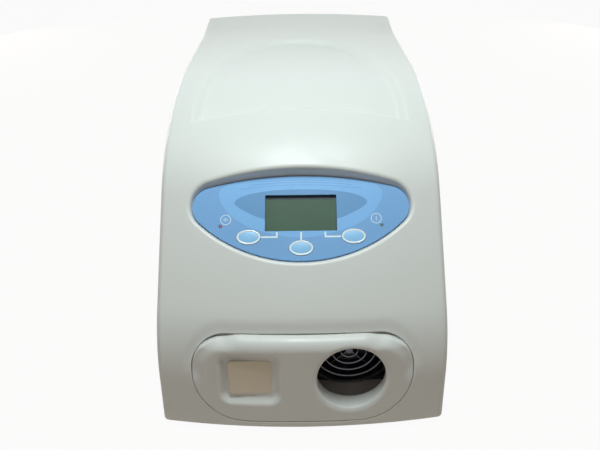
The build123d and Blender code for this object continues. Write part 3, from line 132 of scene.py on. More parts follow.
satin = {"rough": 0.42, "vary": 0.012, "grain": 1400, "bump": 0.05, "patch": 9}
SHELL = surface("shell_satin", srgb(222, 227, 224), **satin)
INSERT = surface("insert_satin", srgb(222, 227, 224), **satin)
finishes = {
    "shell": SHELL,
    "badge": surface("badge_satin", srgb(228, 220, 200), rough=0.38, vary=0.02, grain=700, bump=0.03),
    "keypad": surface("panel_blue", srgb(124, 176, 228), rough=0.42, vary=0.02, bump=0.03, shine=0.25),
    "key": surface("key_blue", srgb(142, 202, 248), rough=0.36, vary=0.02, bump=0.03, coat=0.2),
    "display_frame": surface("display_black", srgb(24, 34, 44), rough=0.45, vary=0.1, bump=0.03),
    "display_glass": surface("display_green", srgb(80, 106, 90), rough=0.4, vary=0.05, grain=260,
                             bump=0.01,
                             patch=60, shine=0.12),
    "board": surface("board_green", srgb(24, 96, 56), rough=0.4, vary=0.12, grain=500,
                     bump=0.15, patch=140, coat=0.3),
    "red_lamp": surface("lamp_red", srgb(168, 84, 90), rough=0.25, vary=0.05, coat=0.5),
    "green_lamp": surface("lamp_green", srgb(84, 128, 112), rough=0.25, vary=0.05, coat=0.5),
    "sheet": surface("sheet_paint", srgb(205, 206, 204), rough=0.5, vary=0.02, grain=1100, bump=0.25),
    "screw": surface("screw_plated", srgb(186, 188, 190), rough=0.3, metal=1.0, vary=0.05, grain=1500,
                     bump=0.1),
    "rubber": surface("rubber_matt", srgb(38, 38, 38), rough=0.85, vary=0.15, grain=900, bump=0.3),
    "black_plastic": surface("plastic_black", srgb(30, 30, 32), rough=0.5, vary=0.15, grain=1200,
                             bump=0.15),
    "wire": surface("wire_plated", srgb(92, 92, 97), rough=0.28, metal=1.0, vary=0.04, grain=800,
                    bump=0.05),
    "aluminium": surface("aluminium_milled", srgb(196, 198, 200), rough=0.35, metal=1.0, vary=0.05, grain=300,
                         bump=0.2, stretch=(1, 12, 1)),
    "ceramic": surface("ceramic_white", srgb(232, 231, 226), rough=0.55, vary=0.02, grain=1500,
                       bump=0.1),
    "tank": surface("tank_natural", srgb(222, 227, 222), rough=0.45, vary=0.02, grain=400,
                    bump=0.1, see=0.3),
    "pump": surface("pump_dark", srgb(66, 69, 73), rough=0.5, vary=0.1, grain=900, bump=0.2),
    "white_plastic": surface("plastic_white", srgb(230, 230, 226), rough=0.45, vary=0.02, grain=900,
                             bump=0.1),
    "hose": surface("hose_silicone", srgb(214, 214, 208), rough=0.55, vary=0.03, grain=500,
                    bump=0.12, see=0.15),
    "tail": surface("tail_steel", srgb(190, 191, 193), rough=0.25, metal=1.0, vary=0.04, grain=900,
                    bump=0.12,
                    stretch=(1, 14, 1)),
    "cap": surface("cap_blue", srgb(52, 84, 132), rough=0.45, vary=0.06, grain=900, bump=0.2),
    "glass": surface("fuse_glass", srgb(226, 232, 232), rough=0.06, vary=0.02, bump=0.01, see=0.85),
}
for part in frame["record"]["subparts"]:
    holder = nodes[part["node"]]
    if not holder.material_slots:
        holder.data.materials.append(None)
    for hold in holder.material_slots:
        hold.material = finishes[part["material_slot"]]


# Curves and sheets
def run(y, z, angle, parts):
    """A chain of lines and arcs, each given by its length and how far it turns."""
    chain, s, angle = [], 0.0, radians(angle)
    for length, turn in parts:
        bend = radians(turn) / length
        chain.append((s, length, y, z, angle, bend))
        s += length
        y, z, angle = step(chain[-1], length)
    return chain


def step(link, d):
    _, _, y, z, angle, bend = link
    if not bend:
        return y + cos(angle) * d, z + sin(angle) * d, angle
    after = angle + bend * d
    return y + (sin(after) - sin(angle)) / bend, z - (cos(after) - cos(angle)) / bend, after


def along(chain, s):
    """Back, up and direction at a distance along a chain; its ends run on straight."""
    for link in chain:
        if s <= link[0] + link[1]:
            break
    return step(link, s - link[0])


def find(value, low, high, rising):
    """Where a rising function reaches a value."""
    for _ in range(36):
        middle = (low + high) / 2
        if rising(middle) < value:
            low = middle
        else:
            high = middle
    return (low + high) / 2


class Sheets:
    """Collects the sheets of one mesh: points, a normal at each, and faces with a finish number."""

    def __init__(self):
        self.points, self.normals, self.faces, self.finish = [], [], [], []

    def flat(self, points, faces, normals, finish=0):
        base = len(self.points)
        self.points += [tuple(p) for p in points]
        self.normals += [tuple(n) for n in normals]
        for face, mark in zip(faces, finish if isinstance(finish, list) else [finish] * len(faces)):
            self.faces.append([base + i for i in face])
            self.finish.append(mark)

    def grid(self, rows, closed=False, flip=False, finish=0):
        """A sheet through rows of points; normals come from differences along both ways."""
        rows = [[Vector(p) for p in row] for row in rows]
        high, wide = len(rows), len(rows[0])

        def slope(line, i, loop):
            n = len(line)
            if loop:
                return line[(i + 1) % n] - line[i - 1]
            if 0 < i < n - 1:
                return line[i + 1] - line[i - 1]
            if n == 2:
                return line[1] - line[0]
            if i == 0:
                return -3 * line[0] + 4 * line[1] - line[2]
            return 3 * line[-1] - 4 * line[-2] + line[-3]

        points, normals = [], []
        for j in range(high):
            for i in range(wide):
                across = slope(rows[j], i, closed)
                up = slope([row[i] for row in rows], j, False)
                n = across.cross(up)
                n = n.normalized() if n.length > 1e-9 else Vector((0, 0, 1))
                points.append(rows[j][i])
                normals.append(-n if flip else n)
        faces = []
        for j in range(high - 1):
            for i in range(wide if closed else wide - 1):
                k = (i + 1) % wide
                face = [j * wide + i, j * wide + k, (j + 1) * wide + k, (j + 1) * wide + i]
                faces.append(face[::-1] if flip else face)
        self.flat(points, faces, normals, finish)

    def build(self, name, materials):
        mesh = bpy.data.meshes.new(name)
        mesh.from_pydata([metres(p) for p in self.points], [], self.faces)
        for mat in materials:
            mesh.materials.append(mat)
        mesh.polygons.foreach_set("material_index", self.finish)
        mesh.polygons.foreach_set("use_smooth", [True] * len(self.faces))
        mesh.normals_split_custom_set_from_vertices(self.normals)
        mesh.update()
        obj = bpy.data.objects.new(name, mesh)
        bpy.context.scene.collection.objects.link(obj)
        return obj


def covers(ring, x, y):
    """Whether a closed ring goes round a point."""
    hit, last = False, ring[-1]
    for here in ring:
        if (here[1] > y) != (last[1] > y):
            if x < (last[0] - here[0]) * (y - here[1]) / (last[1] - here[1]) + here[0]:
                hit = not hit
        last = here
    return hit


def triangles(outer, holes, loose, rings=()):
    """Flat triangles inside one ring and outside the others, with rings kept as edges and loose points."""
    points, edges = [], []
    for ring in [outer, *holes, *rings]:
        base = len(points)
        points += [Vector(p) for p in ring]
        edges += [(base + i, base + (i + 1) % len(ring)) for i in range(len(ring))]
    points += [Vector(p) for p in loose]
    flat, _, faces, *_ = delaunay_2d_cdt(points, edges, [], 0, 1e-5)
    kept = []
    for face in faces:
        cx = sum(flat[i][0] for i in face) / 3
        cy = sum(flat[i][1] for i in face) / 3
        if covers(outer, cx, cy) and not any(covers(hole, cx, cy) for hole in holes):
            kept.append(face)
    return flat, kept


def shifted(ring, distance):
    """A closed anticlockwise ring moved outwards by a distance, point by point."""
    out, n = [], len(ring)
    for i, (x, y) in enumerate(ring):
        ax, ay = ring[i - 1]
        bx, by = ring[(i + 1) % n]
        dx, dy = bx - ax, by - ay
        size = hypot(dx, dy) or 1
        out.append((x + dy / size * distance, y - dx / size * distance))
    return out


def arc(cx, cy, radius, start, end, count):
    """Points on an arc from one angle to another, the last one left out."""
    turns = [start + (end - start) * i / count for i in range(count)]
    return [(cx + radius * cos(turn), cy + radius * sin(turn)) for turn in turns]


def even(ring, count):
    """The same closed ring with evenly spaced points."""
    steps = [hypot(b[0] - a[0], b[1] - a[1]) for a, b in zip(ring, ring[1:] + ring[:1])]
    total, out, i, done = sum(steps), [], 0, 0.0
    for k in range(count):
        want = total * k / count
        while done + steps[i] < want:
            done += steps[i]
            i += 1
        a, b = ring[i], ring[(i + 1) % len(ring)]
        t = (want - done) / (steps[i] or 1)
        out.append((a[0] + (b[0] - a[0]) * t, a[1] + (b[1] - a[1]) * t))
    return out


def edge_rows(start, corner, end, steps):
    """Rows of a rounded edge: from one curve to another, pulled towards the sharp corner between them."""
    rows = []
    for j in range(steps + 1):
        t = j / steps
        a, b, c = (1 - t) ** 2, 2 * t * (1 - t), t * t
        rows.append([
            tuple(a * p + b * q + c * r for p, q, r in zip(*trio))
            for trio in zip(start, corner, end)
        ])
    return rows


# The case's skin
CASE = run(0, 0, 80, [
    (45 / sin(radians(80)), 0),
    (105 * radians(33), -33),
    (95, 0),
    (150 * radians(20), -20),
    (270 * radians(27), -27),
])
roll_end = step(CASE[-1], CASE[-1][1])
flat_length = 385 - roll_end[0]
CASE = run(0, 0, 80, [(link[1], turn) for link, turn in zip(CASE, (0, -33, 0, -20, -27))]
           + [(flat_length, 0), (300 * radians(7), 7), (60, 0)])
SHIN = CASE[1][0]
LIFT = CASE[6][0]
END = find(DEPTH, LIFT, LIFT + 120, lambda s: along(CASE, s)[0])


def setback(x):
    return BOW * (x / HALF) ** 2


def drop(x):
    return CROWN * (x / HALF) ** 2


def warp(x, s, inset=0.0):
    """Real distance along the case's outline, so that rows end on the bottom rim and at the rear edge."""
    start = (drop(x) + inset * cos(radians(80))) / sin(radians(80))
    over = (setback(x) - inset * sin(radians(7))) / cos(radians(7))
    return s + start * max(0.0, 1 - s / SHIN) - over * max(0.0, (s - LIFT) / (END - LIFT))


def unwarp(x, s):
    start = drop(x) / sin(radians(80))
    return (s - start) / (1 - start / SHIN) if s < SHIN else s


TRAY_SIDE, TRAY_END = 100.5, 77.0


def tray_inside(x, y):
    """Distance inside the tray's outline in plan."""
    x = abs(x)
    if y < 188:
        return TRAY_SIDE - x
    rise, reach = y - 188, x + 267
    if rise * 267 > reach * 114.5:
        return TRAY_END - hypot(x, y - 302.5)
    return TRAY_SIDE + 267 - hypot(reach, rise)


def tray_lip(x):
    return 179 - 12 * (x / 97) ** 2


def tray_depth(x, y):
    """How deep the tray lies: soft walls, a sharp lip in front and a fine groove along the lip."""
    if y < 155:
        return 0.0
    past = y - tray_lip(x)
    inside = tray_inside(x, y)
    groove = 0.7 * smooth(inside / 3) * max(0.0, 1 - abs(past + 1.2) / 0.7)
    return 6.0 * smooth(inside / 12.0) * smooth(past / 1.4) + groove


def insert_gap(x, z):
    """Rough distance outside the front insert's top edge."""
    side = abs(x)
    if side < 62:
        return z - (82.8 - 1.8 * (x / 91) ** 2)
    return hypot(max(0, side - 62), max(0.0, z - 53.8)) - 29


def skin(across, s, inset=0.0, plain=False):
    """A point of the outer skin. Across is measured along the section, round the side's edge."""
    x, extra = across, 0.0
    if abs(across) > HALF - SIDE_ROUND:
        turn = (abs(across) - HALF + SIDE_ROUND) / SIDE_ROUND
        x = (HALF - SIDE_ROUND + SIDE_ROUND * sin(turn)) * (1 if across > 0 else -1)
        extra = SIDE_ROUND * (1 - cos(turn))
    y, z, angle = along(CASE, warp(x, s, extra))
    y, z = y + setback(x), z - drop(x)
    deep = inset + extra
    if not plain:
        deep += tray_depth(x, y)
        if 40 < z < 100:
            deep += 1.4 * (1 - smooth(insert_gap(x, z) / 11)) * smooth((z - 45) / 25)
    return Vector((x, y + deep * sin(angle), z - deep * cos(angle)))


def normal_at(func, a, b, e=0.3):
    da = func(a + e, b) - func(a - e, b)
    db = func(a, b + e) - func(a, b - e)
    return da.cross(db).normalized()


# Keypad panel's plane and outline
TILT = radians(41)
SINK = 2.5


def on_panel(u, v, h=0.0):
    return Vector((u, 66.5 + v * cos(TILT) - h * sin(TILT), 127.6 + v * sin(TILT) + h * cos(TILT)))


def lens(grow, count=300):
    """The panel's outline, two long arcs and two round ends, anticlockwise from the lower arc's left end."""
    low, high = 126.0 + grow, 310.5 + grow
    low_y, high_y = 123.2, -238.1
    cx, cy, r = 73.69, 44.66, 18.3 + grow
    a = atan2(cy - low_y, cx)
    b = atan2(cy - high_y, cx)
    ring = arc(0, low_y, low, -pi - a, a, 160)
    ring += arc(cx, cy, r, a, b, 60)
    ring += arc(0, high_y, high, b, pi - b, 160)
    ring += arc(-cx, cy, r, pi - b, 2 * pi - pi - a, 60)
    return even(ring, count)


def outline_points(grow, count=320):
    """Front view of the insert's outline, anticlockwise."""
    side, high, low = 91 + grow, 82.8 + grow, 5 - grow
    sag, top, bottom = 1.8, 29 + grow, 44 + grow
    ring = arc(-(side - bottom), low + bottom, bottom, pi, 1.5 * pi, 40)
    ring += arc(side - bottom, low + bottom, bottom, -pi / 2, 0, 40)
    edge = high - sag * ((side - top) / side) ** 2
    lean = 2 * sag * (side - top) / side**2
    ring += arc(side - top, edge - top, top, 0, pi / 2 - lean, 40)
    across = [side - top - i * 4 for i in range(1, int((side - top) / 2))]
    ring += [(x, high - sag * (x / side) ** 2) for x in across]
    ring += arc(top - side, edge - top, top, pi / 2 + lean, pi, 40)
    return even(ring, count)


def case_at(x, z):
    """Distance along the case's outline where the front reaches a height, in the mesh's own measure."""
    s = find(z + drop(x), 0, 180, lambda t: along(CASE, t)[1])
    return unwarp(x, s)


# Rings where the skin stops: at the keypad's recess and round the front insert
wall_low, keypad_corner, keypad_flat = [], [], []
for (u, v), (gu, gv) in zip(lens(0.4), lens(1.4)):
    nu, nv = gu - u, gv - v

    def above(h, u=u, v=v, nu=nu, nv=nv):
        """How far a point up the recess wall stands out of the skin, with the place along the skin."""
        flare = h * tan(radians(20))
        p = on_panel(u + nu * flare, v + nv * flare, h - SINK)
        def behind(t):
            y, z, angle = along(CASE, t)
            return -(p.y - setback(p.x) - y) * cos(angle) - (p.z + drop(p.x) - z) * sin(angle)

        s = find(0, 60, 330, behind)
        y, z, angle = along(CASE, s)
        return -(p.y - setback(p.x) - y) * sin(angle) + (p.z + drop(p.x) - z) * cos(angle), p, s

    rise = find(0, 0, 25, lambda h: above(h)[0])
    _, corner, s = above(rise)
    wall_low.append(on_panel(u, v, -SINK))
    keypad_corner.append(corner)
    keypad_flat.append((corner.x, s))
keypad_edge = shifted(keypad_flat, 3.2)
insert_flat = [(x, case_at(x, z)) for x, z in outline_points(0.4)]
insert_corner = [skin(x, s) for x, s in insert_flat]
insert_edge = shifted(insert_flat, 0.9)


def row_marks(low, high, gap):
    count = max(1, round((high - low) / gap))
    return [low + (high - low) * i / count for i in range(count + 1)]


lip_offsets = (-3.2, -2.2, -1.9, -1.55, -1.2, -0.85, -0.5, -0.2, 0, 0.3, 0.6, 0.9, 1.2, 1.5, 2.4, 4)
rim_x = HALF - SIDE_ROUND
down = row_marks(0, END, 4.0)
outer = [(-rim_x + 2 * rim_x * i / 58, 0.0) for i in range(58)]
outer += [(rim_x, s) for s in down[:-1]]
outer += [(rim_x - 2 * rim_x * i / 58, END) for i in range(58)]
outer += [(-rim_x, s) for s in down[:0:-1]]
loose = []
for i in range(1, 58):
    x = -rim_x + 2 * rim_x * i / 58
    loose += [(x + 0.001 * (j % 2), s) for j, s in enumerate(down[1:-1])]
    for k in (0, 0.5):
        xk = x + k * 2 * rim_x / 58
        for offset in lip_offsets:
            y = tray_lip(xk) + offset
            loose.append((xk, find(y - setback(xk), 100, 600, lambda t: along(CASE, t)[0])))
for inside in (-2, 0, 1.5, 3, 4.5, 6, 7.5, 9, 10.5, 12, 13.5, 16):
    for side in (-1, 1):
        for i in range(120):
            y = 166 + 4 * i
            edge = find(0, -110, 0, lambda x: tray_inside(x, y) - inside)
            if tray_inside(0, y) > inside:
                loose.append((-side * edge, find(y - setback(edge), 100, 600, lambda t: along(CASE, t)[0])))
    for i in range(1, 40):
        turn = radians(20 + 3.6 * i)
        x, y = (TRAY_END - inside) * cos(turn), 302.5 + (TRAY_END - inside) * sin(turn)
        loose.append((x, find(y - setback(x), 100, 600, lambda t: along(CASE, t)[0])))
for distance in (3, 6, 10):
    loose += shifted(insert_flat, distance)[::2]
    loose += shifted(keypad_flat, distance + 1)[::2]
loose = [p for p in loose if -rim_x + 0.5 < p[0] < rim_x - 0.5 and 0.5 < p[1] < END - 0.5]
loose = [p for p in loose if not covers(insert_edge, *p) and not covers(keypad_edge, *p)]

shell = Sheets()
flat, faces = triangles(outer, [insert_edge, keypad_edge], loose)
shell.flat([skin(*p) for p in flat], faces, [normal_at(skin, *p) for p in flat])

# Rounded rim and wall of the keypad's recess, then its ledge
edge = [skin(*p) for p in keypad_edge]
shoulder = []
for corner, foot in zip(keypad_corner, wall_low):
    slope = foot - corner
    shoulder.append(corner + slope * min(0.8, 2.6 / slope.length))
shell.grid(edge_rows(edge, keypad_corner, shoulder, 8), closed=True, flip=True)
ledge = [on_panel(u, v, -SINK) for u, v in lens(-3)]
shell.grid([shoulder, [(a + b) / 2 for a, b in zip(shoulder, wall_low)], wall_low], closed=True, flip=True)
shell.grid([wall_low, ledge], closed=True, flip=True)

# Edge round the front insert
edge = [skin(*p) for p in insert_edge]
inner = [p + Vector((0, 1.0, 0)) for p in insert_corner]
shell.grid(edge_rows(edge, insert_corner, inner, 4), closed=True, flip=True)
shell.grid([inner, [p + Vector((0, 9, 0)) for p in insert_corner]], closed=True, flip=True)

# Rounded side edges and the upright sides, then the thickness shown at the bottom and behind
for side in (-1, 1):
    rows = []
    for i in range(9):
        across = side * (rim_x + SIDE_ROUND * pi / 2 * i / 8)
        rows.append([skin(across, s) for s in down])
    shell.grid(rows, flip=side > 0)
    foot = [[Vector((p.x, p.y, p.z * (1 - j / 12))) for p in rows[-1]] for j in range(13)]
    shell.grid(foot, flip=side > 0)
rear = [skin(-rim_x - SIDE_ROUND * pi / 2 * (1 - i / 8), END) for i in range(8)]
rear += [skin(-rim_x + 2 * rim_x * i / 58, END) for i in range(59)]
rear += [skin(rim_x + SIDE_ROUND * pi / 2 * i / 8, END) for i in range(1, 9)]
rear = [Vector((-HALF, DEPTH, 0))] + rear + [Vector((HALF, DEPTH, 0))]
inner = []
for p in rear:
    q = Vector(p)
    q.z = max(0.0, q.z - WALL) if abs(q.x) < HALF - 1 else q.z
    q.x *= (HALF - WALL) / HALF
    inner.append(q)
shell.grid([rear, inner], flip=True)
shell.grid([inner, [p - Vector((0, 9, 0)) for p in inner]], flip=True)
front_foot = [skin(-rim_x + 2 * rim_x * i / 58, 0) for i in range(59)]
bottom = [Vector((-HALF, DEPTH, 0)), Vector((-HALF, DEPTH - 9, 0))]
bottom += [skin(-rim_x - SIDE_ROUND * pi / 2 * (1 - i / 8), 0) for i in range(8)]
bottom += front_foot
bottom += [skin(rim_x + SIDE_ROUND * pi / 2 * i / 8, 0) for i in range(1, 9)]
bottom += [Vector((HALF, DEPTH - 9, 0)), Vector((HALF, DEPTH, 0))]
inner = [
    Vector((p.x * (HALF - WALL) / HALF, min(DEPTH, p.y + (WALL if p.y < 60 else 0)), 0))
    for p in bottom
]
shell.grid([bottom, inner])
shell.grid([inner[1:-1], [p + Vector((0, 0, 14)) for p in inner[1:-1]]])
cover = shell.build("cover_shell", [SHELL])

# The front insert
FACE = run(0, 0, 80, [(72 / sin(radians(80)), 0), (11 * radians(70), -70), (60, 0)])
BADGE_X, BADGE_UP = -43.5, 46 / sin(radians(80))
INTAKE = (40.0, 45.7)
BORE, COLLAR, BORE_END = 28.5, 31.5, 18.0


def well_depth(x, t):
    """The badge's well: a flat floor 5 mm down, with soft walls."""
    a, b = abs(x - BADGE_X) - 15.0, abs(t - BADGE_UP) - 13.5
    out = hypot(max(a, 0), max(b, 0)) + min(max(a, b), 0) - 4.0
    return 5.0 * (1 - smooth(out / 8.5))


def face_plain(x, t, inset=0.0):
    y, z, angle = along(FACE, t)
    return Vector((x, y + setback(x) + inset * sin(angle), z - inset * cos(angle)))


def flare(x, t):
    """A soft funnel round the intake."""
    z = along(FACE, t)[1]
    out = hypot(x - INTAKE[0], z - INTAKE[1]) - BORE
    return 1.5 * max(0.0, 1 - max(0.0, out) / 5.0) ** 2.2


def corner_round(x, t):
    """Softens the insert's two upper corners toward their edge."""
    z = along(FACE, t)[1]
    share = smooth((z - 36) / 24) * smooth((abs(x) - 48) / 20)
    return 2.6 * share * (1 - smooth(max(0.0, -insert_gap(x, z)) / 12))


def face(x, t):
    return face_plain(x, t, well_depth(x, t) + flare(x, t) + corner_round(x, t))


def face_at(z):
    return find(z, 0, 140, lambda t: along(FACE, t)[1])


insert = Sheets()
rim_flat = [(x, face_at(z)) for x, z in outline_points(0)]
rim_corner = [face(*p) for p in rim_flat]
rim_inner = shifted(rim_flat, -1.6)
turns = [radians(3 * i) for i in range(120)]
bore_flat = [
    (INTAKE[0] + BORE * cos(turn), face_at(INTAKE[1] + BORE * sin(turn)))
    for turn in turns
]
bore_edge = shifted(bore_flat, 0.6)
loose = []
for i in range(-60, 61):
    for j in range(60):
        x, t = 1.5 * i, 5 + 1.5 * j
        if covers(rim_inner, x, t) and not covers(bore_edge, x, t):
            loose.append((x, t))
for distance in (1.5, 2.5, 3.5, 5, 6.5, 8.5):
    loose += [p for p in shifted(bore_flat, distance) if covers(rim_inner, *p)]
for distance in (0.4, 1.2, 2.5):
    loose += shifted(rim_inner, -distance)
flat, faces = triangles(rim_inner, [bore_edge], loose)
insert.flat([face(*p) for p in flat], faces, [normal_at(face, *p) for p in flat])
edge = [face(*p) for p in rim_inner]
skirt = [p + Vector((0, 1.4, 0)) for p in rim_corner]
insert.grid(edge_rows(edge, rim_corner, skirt, 6), closed=True)
insert.grid([skirt, [p + Vector((0, 9, 0)) for p in rim_corner]], closed=True)
edge = [face(*p) for p in bore_edge]
corner = [face(*p) for p in bore_flat]
inner = [p + Vector((0, 1.0, 0)) for p in corner]
back = [Vector((p.x, BORE_END, p.z)) for p in corner]
insert.grid(edge_rows(edge, corner, inner, 5), closed=True, flip=True)
insert.grid([inner, [(a + b) / 2 for a, b in zip(inner, back)], back], closed=True, flip=True)
outer_back = [
    Vector((INTAKE[0] + COLLAR * cos(turn), BORE_END, INTAKE[1] + COLLAR * sin(turn)))
    for turn in turns
]
insert.grid([back, outer_back], closed=True, flip=True)
front_insert = insert.build("insert_face", [INSERT])

# The keypad's panel, with its printed marks and painted shade on the display window's walls
PALE = surface("panel_pale_blue", srgb(132, 190, 244), rough=0.42, vary=0.02, bump=0.03, shine=0.25)
MILD = surface("panel_mild_blue", srgb(104, 158, 208), rough=0.42, vary=0.02, bump=0.03, shine=0.25)
LINE = surface("panel_arc_blue", srgb(116, 172, 228), rough=0.42, vary=0.02, bump=0.03, shine=0.25)
PRINT = surface("panel_white", srgb(230, 248, 255), rough=0.36, vary=0.02, bump=0.03, coat=0.2)
MARK = surface("panel_mark", srgb(206, 230, 250), rough=0.36, vary=0.02, bump=0.03, coat=0.2)


def spline(points, steps=8):
    """A smooth closed ring through points."""
    out, n = [], len(points)
    for i in range(n):
        p0, p1, p2, p3 = (points[(i + k) % n] for k in (-1, 0, 1, 2))
        for j in range(steps):
            t = j / steps
            out.append(tuple(
                0.5 * (2 * b + (c - a) * t
                       + (2 * a - 5 * b + 4 * c - d) * t * t
                       + (3 * b - a - 3 * c + d) * t**3)
                for a, b, c, d in zip(p0, p1, p2, p3)
            ))
    return out


def both_sides(half):
    """A closed ring from the points of its right half, which start and end on the middle line."""
    return spline(half + [(-x, y) for x, y in half[-2:0:-1]])


def band(points, width):
    """A thin strip along a polyline."""
    left, right = [], []
    for i, p in enumerate(points):
        a, b = points[max(0, i - 1)], points[min(len(points) - 1, i + 1)]
        dx, dy = b[0] - a[0], b[1] - a[1]
        size = hypot(dx, dy)
        left.append((p[0] - dy / size * width / 2, p[1] + dx / size * width / 2))
        right.append((p[0] + dy / size * width / 2, p[1] - dx / size * width / 2))
    return left + right[::-1]


def oval(cx, cy, a, b, count=64):
    return [(cx + a * cos(2 * pi * i / count), cy + b * sin(2 * pi * i / count)) for i in range(count)]


crescent = both_sides([
    (0, 17.2), (20.7, 19.8), (40.3, 25.6), (50.5, 30.6), (59.5, 37.4), (66.9, 47.2),
    (69.8, 57.0), (67.0, 62.2), (60, 65.4), (40, 69.6), (0, 74),
])
middle = both_sides([
    (0, 29.5), (15, 30.4), (30.5, 33.6), (39.6, 36.9), (49.8, 42.2), (55.0, 46.0),
    (56.4, 48.8), (53.0, 52.4), (42.9, 56.4), (23.4, 59.3), (0, 60.1),
])
arcs = [band([(x, high - x * x / 760) for x in range(-half, half + 1, 4)], 0.7)
        for high, half in ((68.6, 36), (66.6, 44), (64.2, 52))]
leads = []
bend = ((19.6, 22.2), (21.0, 22.2), (21.0, 18.7), (34.1, 18.7), (34.1, 17.3), (19.6, 17.3))
for side in (-1, 1):
    leads.append([(side * x, y) for x, y in bend])
leads.append([(-0.7, 14.6), (0.7, 14.6), (0.7, 22.2), (-0.7, 22.2)])
icons = []
for side in (-1, 1):
    icons.append((side * 63.4, 33.5))
rings = [oval(x, y, 4.6, 4.6, 40) for x, y in icons] + [oval(x, y, 3.9, 3.9, 40) for x, y in icons]
glyphs = [[(63.1, 31.3), (63.7, 31.3), (63.7, 35.7), (63.1, 35.7)]]
for k in (-1, 0, 1):
    near, far = -63.7 + 1.3 * k, -63.1 + 1.3 * k
    glyphs.append([(near, 32.1), (far, 32.1), (far, 34.9), (near, 34.9)])
window = [(-30.3, 23.1), (30.3, 23.1), (30.3, 55.1), (-30.3, 55.1)]
keys = {"left_key": (-44.0, 18.0), "centre_key": (0.0, 8.3), "right_key": (44.0, 18.0)}
holes = [window] + [oval(x, y, 10.5, 6.8) for x, y in keys.values()]
holes += [oval(side * 67.8, 27.8, 1.45, 1.45, 24) for side in (-1, 1)]


def clip(ring, limit):
    """A ring pulled in so that it stays within another one."""
    out = []
    for p in ring:
        if covers(limit, *p):
            out.append(p)
        else:
            low, high = 0.0, 1.0
            for _ in range(24):
                t = (low + high) / 2
                if covers(limit, p[0] * (1 - t), 40 + (p[1] - 40) * (1 - t)):
                    high = t
                else:
                    low = t
            out.append((p[0] * (1 - high), 40 + (p[1] - 40) * (1 - high)))
    return out


panel = Sheets()
panel_rim = lens(-0.5)
crescent = clip(crescent, shifted(panel_rim, -0.02))
arcs = [clip(a, shifted(panel_rim, -0.3)) for a in arcs]
flat, faces = triangles(panel_rim, holes, [], [crescent, middle, *arcs, *leads, *rings, *glyphs])
marks = []
for tri in faces:
    x = sum(flat[i][0] for i in tri) / 3
    y = sum(flat[i][1] for i in tri) / 3
    mark = 0
    if covers(crescent, x, y):
        mark = 1
        if covers(middle, x, y):
            mark = 2
        elif any(covers(a, x, y) for a in arcs):
            mark = 3
    if any(covers(a, x, y) for a in leads):
        mark = 4
    if any(covers(a, x, y) for a in glyphs):
        mark = 5
    if any(covers(a, x, y) for a in rings[:2]) and not any(covers(a, x, y) for a in rings[2:]):
        mark = 5
    marks.append(mark)
up = on_panel(0, 0, 1) - on_panel(0, 0, 0)
panel.flat([on_panel(*p) for p in flat], faces, [up] * len(flat), marks)
top = [on_panel(*p) for p in panel_rim]
corner = [on_panel(*p) for p in lens(0)]
side = [on_panel(*p, -0.5) for p in lens(0)]
panel.grid(edge_rows(top, corner, side, 4), closed=True)
panel.grid([side, [on_panel(*p, -SINK) for p in lens(0)]], closed=True)
for hole in holes:
    hole = even(hole, 96) if len(hole) > 4 else hole
    if len(hole) == 4:
        for a, b in zip(hole, hole[1:] + hole[:1]):
            front = [on_panel(*a), on_panel(*b)]
            rear = [on_panel(*a, -SINK), on_panel(*b, -SINK)]
            panel.grid([front, rear], flip=True, finish=6)
    else:
        front = [on_panel(*p) for p in hole]
        rear = [on_panel(*p, -SINK) for p in hole]
        panel.grid([front, rear], closed=True, flip=True)
# The display window's walls get a dark navy: painted shade for walls that lie in shadow
WINDOW_SHADE = surface("window_wall_painted_shade", srgb(44, 78, 104), rough=0.5, vary=0.05)
keypad = panel.build("keypad_print", [finishes["keypad"], PALE, MILD, LINE, PRINT, MARK, WINDOW_SHADE])

# The keys, each a low dome in a white ring
RING = surface("key_ring", srgb(236, 250, 255), rough=0.3, vary=0.01, bump=0.02, coat=0.3)
ring_steps = (
    (0.0, -1.6), (0.0, 0.15), (0.12, 0.4), (0.4, 0.6), (0.8, 0.66), (1.2, 0.6), (1.5, 0.42), (1.7, 0.3),
)
key_pieces = {}
for name, (kx, ky) in keys.items():
    sheet = Sheets()
    rows, centre = [], []
    for d, h in ring_steps:
        rows.append([on_panel(x, y, h) for x, y in oval(kx, ky, 10.2 - d, 6.5 - d, 96)])
    sheet.grid(rows, closed=True, finish=1)
    for i in range(9):
        f = 1 - i / 8
        rise = 0.3 + 0.28 * (1 - f * f)
        centre.append([on_panel(x, y, rise) for x, y in oval(kx, ky, 8.5 * f + 1e-4, 4.8 * f + 1e-4, 96)])
    sheet.grid(centre, closed=True)
    key_pieces[name] = sheet.build(name + "_dome", [finishes["key"], RING])

# The display's dark border: a dark sheet of painted shadow, standing for the shade the window's sunk edge
# casts on the display's top and sides
DISPLAY_SHADOW = surface("display_painted_shadow", srgb(30, 52, 66), rough=0.4, vary=0.06, bump=0.02)
shadow_sheet = Sheets()
SHADOW_TOP, SHADOW_FOOT = -3.36, -3.48
shadow_band = [
    (-31.0, 23.1), (-29.4, 23.1), (-29.4, 52.3), (29.6, 52.3),
    (29.6, 23.1), (31.0, 23.1), (31.0, 55.8), (-31.0, 55.8),
]
flat, faces = triangles(shadow_band, [], [])
shadow_sheet.flat([on_panel(*p, SHADOW_TOP) for p in flat], faces, [up] * len(flat))
for a, b in zip(shadow_band, shadow_band[1:] + shadow_band[:1]):
    front = [on_panel(*a, SHADOW_TOP), on_panel(*b, SHADOW_TOP)]
    rear = [on_panel(*a, SHADOW_FOOT), on_panel(*b, SHADOW_FOOT)]
    shadow_sheet.grid([front, rear], flip=True)
display_painted_shadow = shadow_sheet.build("display_painted_shadow", [DISPLAY_SHADOW])
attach(display_painted_shadow, "case")

for piece, node, body in (
    (cover, "cover", "case"),
    (front_insert, "front_insert", "case"),
    (keypad, "keypad_panel", "case"),
):
    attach(piece, body)
    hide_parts(node)
for name, piece in key_pieces.items():
    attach(piece, name)
    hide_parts(name)

